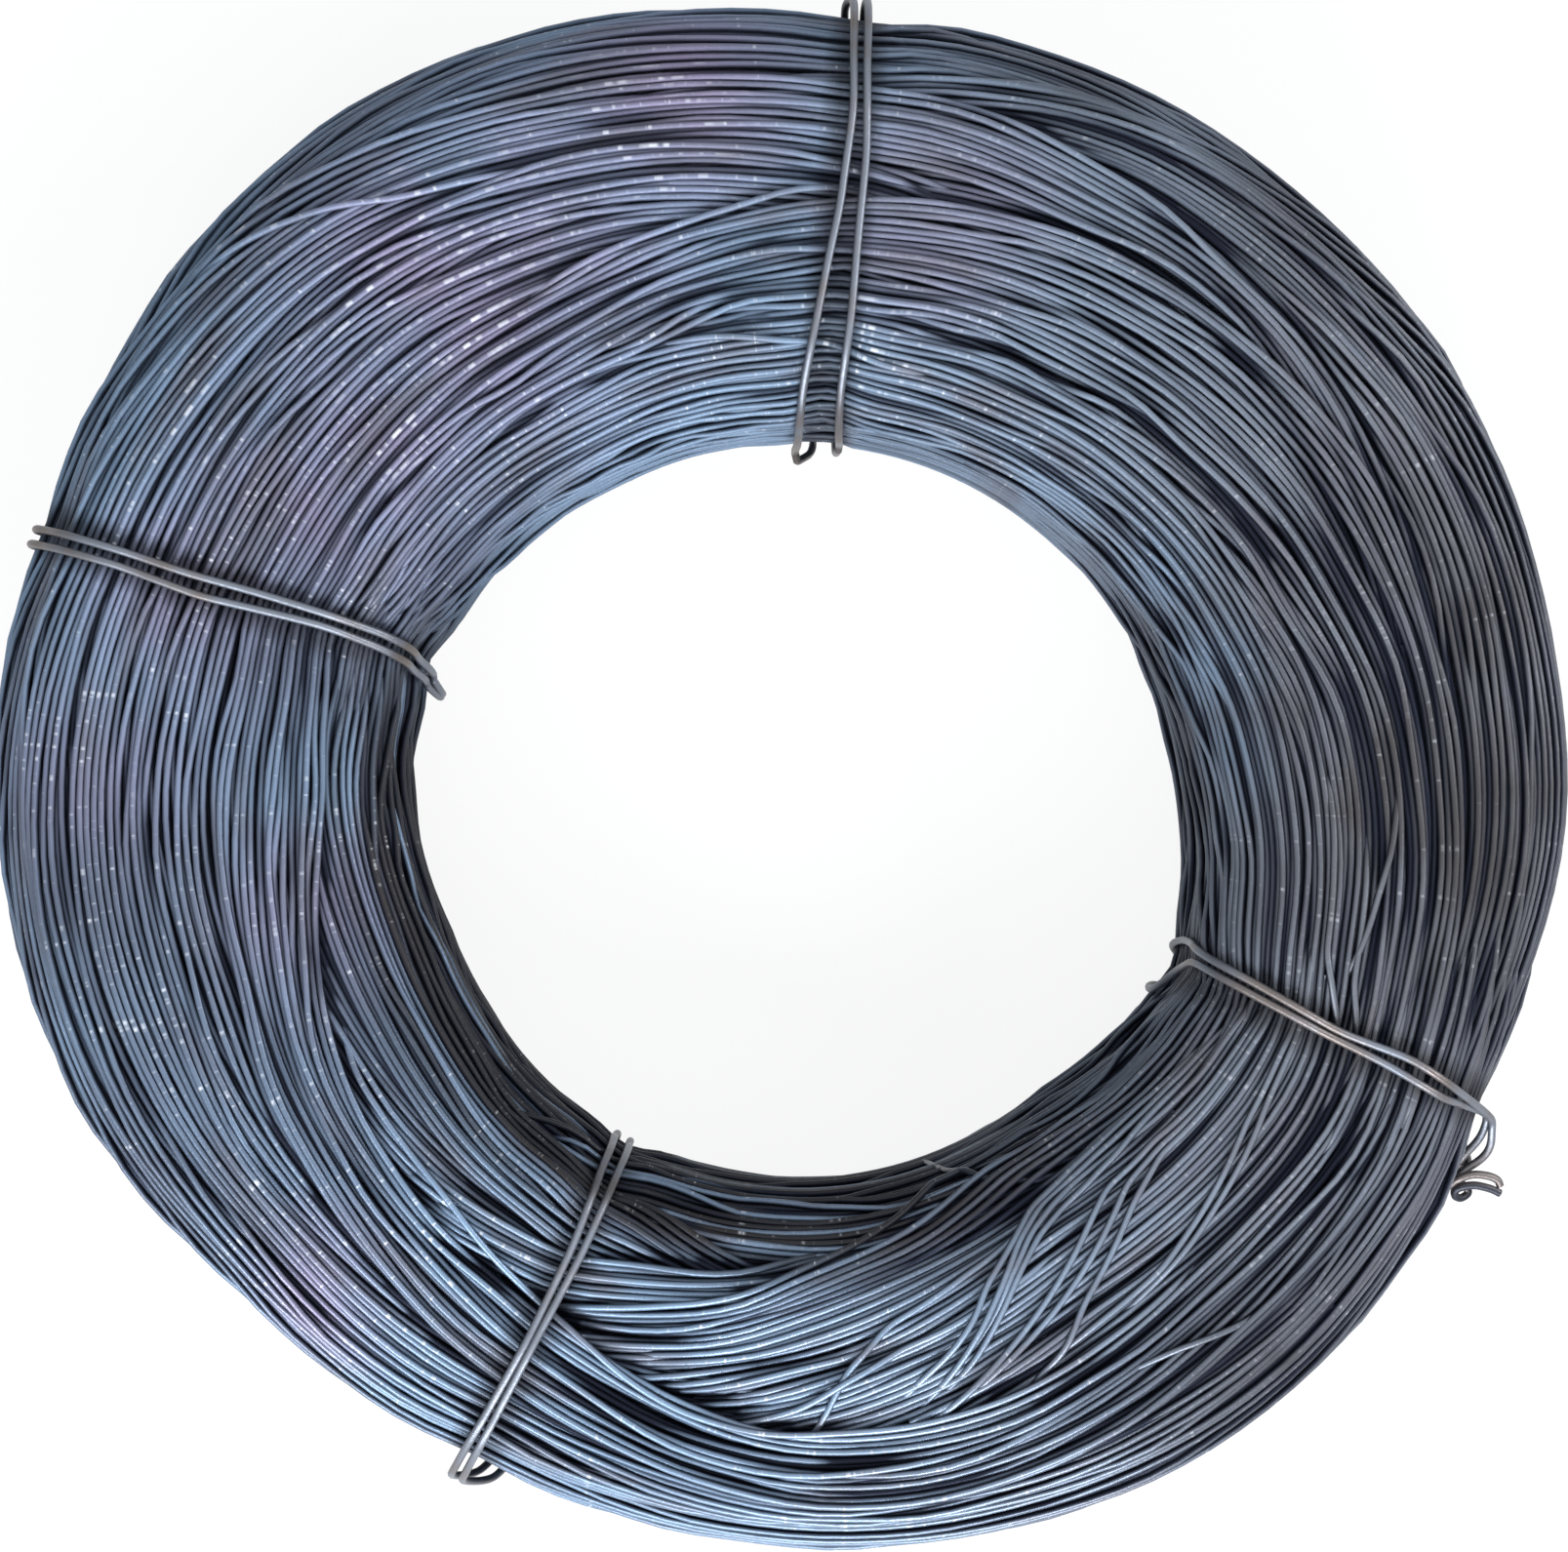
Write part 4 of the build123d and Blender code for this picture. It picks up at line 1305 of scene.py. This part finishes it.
def wire_material():
    """Annealing scale: blue to violet on the left, grey on the right, bright where it is rubbed. Shade is
    painted into the grooves, beside the ties and in the bore on one side; the brown patches are partly
    painted shade and the blue ones by the bore partly painted light.
    """
    material, look, shader = new_material("annealed_wire")
    where = look.node("TexCoord").outputs["Object"]
    split = look.node("SeparateXYZ", where).outputs
    x = split["X"]
    y = split["Y"]
    depth = look.mark("depth")
    uneven = look.noise(where, PATCH_SCALE, DETAILED)
    streaks = look.noise(round_places(look, where, STREAK_ROUND, STREAK_ACROSS), 1.0, DETAILED)
    # Brown patches: partly brown scale, partly painted shade on the sides away from the light
    brown = patches_at(look, where, uneven, BROWN_AND_SHADE_PLACES)
    dark = look.joined("MULTIPLY", patches_at(look, where, uneven, DARK_PLACES), DARK_SHARE)
    # Painted shade in the bore on one side and beside the ties
    painted_shade = look.joined("MAXIMUM", bore_shade(look, where), tie_shade(look, where))
    # Painted shade in the grooves between the turns and on their flanks, by how deep each point lies
    groove_shade_by_place = look.joined("MULTIPLY", look.ranged(y, *GROOVE_SHADE_BACK), look.ranged(x, *GROOVE_SHADE_RIGHT))
    grooves = look.joined("MULTIPLY", look.ranged(depth, *GROOVE_SHADED), groove_shade_by_place)
    coloured = BLUE_SCALE
    for share, colour in (
        (patches_at(look, where, uneven, VIOLET_PLACES), VIOLET_SCALE),
        (look.ranged(x, *GREY_TO_RIGHT), GREY_SCALE),
        (look.ranged(streaks, *STREAKED), STREAK_SCALE),
        (look.ranged(look.mark("tint"), *SHADED), DARK_SCALE),
        (brown, BROWN_SCALE_AND_SHADE),
        # blue scale by the bore, partly painted light on the wall that faces the light
        (patches_at(look, where, uneven, BLUE_AND_LIT_PLACES), BLUE_SCALE),
        (dark, DARK_SCALE),
        (painted_shade, PAINTED_BORE_SHADE),
        (grooves, PAINTED_DEEP_SHADE),
        (rubbed_marks(look, where, uneven), RUBBED_STEEL),
    ):
        coloured = look.mixed(share, coloured, colour)
    look.feed(shader.inputs["Base Color"], coloured)
    grain = look.noise(where, GRAIN_SCALE, DETAILED)
    rough = look.joined("ADD", look.ranged(grain, *WIRE_ROUGH), look.ranged(y, *SATIN_BACK))
    look.feed(shader.inputs["Roughness"], rough)
    # Less shine deeper between the turns, a painted shade on the reflections, and less on the painted bore
    # and tie shade and on the brown
    dull = look.ranged(look.joined("MAXIMUM", painted_shade, brown), *DULLED)
    shine = look.joined("MULTIPLY", look.ranged(depth, *SHINE), dull)
    look.feed(shader.inputs["Specular IOR Level"], shine)
    look.feed(shader.inputs["Specular Tint"], EDGE_TINT)
    look.feed(shader.inputs["Metallic"], WIRE_METALLIC)
    look.bump(shader, grain, WIRE_BUMP)
    return material


def tie_material():
    """Duller and greyer scale, with brown patches and brown ends, and painted shade on the undersides of
    the strands.
    """
    material, look, shader = new_material("tie_wire")
    where = look.node("TexCoord").outputs["Object"]
    patches = look.ranged(look.noise(where, TIE_PATCH_SCALE, MEDIUM), *TIE_PATCHY)
    brown = look.joined("MAXIMUM", patches, look.ranged(look.mark("tint"), *TIE_ENDS))
    coloured = look.mixed(brown, TIE_GREY, TIE_BROWN)
    # Painted shade: the undersides of the strands are darkened
    coloured = look.mixed(look.ranged(look.mark("depth"), *TIE_UNDERSIDE_SHADED), coloured, PAINTED_DEEP_SHADE)
    look.feed(shader.inputs["Base Color"], coloured)
    grain = look.noise(where, GRAIN_SCALE, DETAILED)
    look.feed(shader.inputs["Roughness"], look.ranged(grain, *TIE_ROUGH))
    look.feed(shader.inputs["Metallic"], TIE_METALLIC)
    look.bump(shader, grain, TIE_BUMP)
    return material


def seen_share(look):
    """1 for what the camera sees, also in a mirror or through glass, and 0 for light on other things."""
    path = look.node("LightPath").outputs
    return look.joined("MAXIMUM", path["Is Camera Ray"], path["Is Glossy Ray"], path["Is Transmission Ray"])


def floor_piece():
    """A pale floor, white to the camera, which keeps the coil's shadow and fades into the background."""
    bpy.ops.mesh.primitive_plane_add(size=FLOOR_SIZE, location=(0, 0, 0))
    floor = bpy.context.object
    floor.name = "floor"
    material, look, shader = new_material("floor")
    look.feed(shader.inputs["Base Color"], FLOOR_GREY)
    look.feed(shader.inputs["Roughness"], FLOOR_ROUGH)
    away = look.measure("LENGTH", look.node("TexCoord").outputs["Object"])
    white = look.ranged(away, FADE_FROM, FADE_TO, FLOOR_GLOW, 1.0)
    glow = look.node("Emission", WHITE, 1.0).outputs[0]
    share = look.joined("MULTIPLY", seen_share(look), white)
    mix = look.node("MixShader", share, shader.outputs[0], glow)
    look.feed(look.nodes["Material Output"].inputs["Surface"], mix.outputs[0])
    floor.data.materials.append(material)


def lamp_piece(lamp):
    """A square soft lamp that faces the coil."""
    data = bpy.data.lights.new(lamp.name, "AREA")
    data.energy = lamp.power
    data.size = lamp.size
    data.color = lamp.colour
    made = placed(lamp.name, data)
    made.location = lamp.place
    made.rotation_euler = (Vector(LAMP_AIM) - Vector(lamp.place)).to_track_quat("-Z", "Y").to_euler()


def world_light():
    """Soft light from all round, before a white background."""
    world = bpy.data.worlds.new("studio")
    bpy.context.scene.world = world
    world.use_nodes = True
    look = Look(world.node_tree)
    soft = look.nodes["Background"]
    look.feed(soft.inputs["Color"], WORLD_TINT)
    look.feed(soft.inputs["Strength"], WORLD_LIGHT)
    white = look.node("Background", WHITE, 1.0)
    mix = look.node("MixShader", seen_share(look), soft.outputs[0], white.outputs[0])
    look.feed(look.nodes["World Output"].inputs["Surface"], mix.outputs[0])


def photo_camera():
    """A camera straight above, a little beside the coil's axis, with +Y up in the picture."""
    data = bpy.data.cameras.new("camera")
    data.sensor_fit = "HORIZONTAL"
    data.angle = math.radians(FIELD_OF_VIEW)
    data.clip_start = NEAREST_SEEN / METRE
    camera = placed("camera", data)
    camera.location = (CAMERA_PLACE[0] / METRE, CAMERA_PLACE[1] / METRE, CAMERA_HEIGHT / METRE)
    bpy.context.scene.camera = camera


bpy.context.scene.view_settings.view_transform = "Standard"
wire_look = wire_material()
tie_look = tie_material()
heap = laid_coil()
level = evened_out(heap)
for piece in wire_pieces(heap, wire_look) + [core_piece(level, wire_look)]:
    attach(piece, "root")
    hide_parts("wire_coil")
for node in TIES:
    piece = tie_piece(heap, node, tie_look)
    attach(piece, "root")
    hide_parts(node)

floor_piece()
for lamp in LAMPS:
    lamp_piece(lamp)
world_light()
photo_camera()
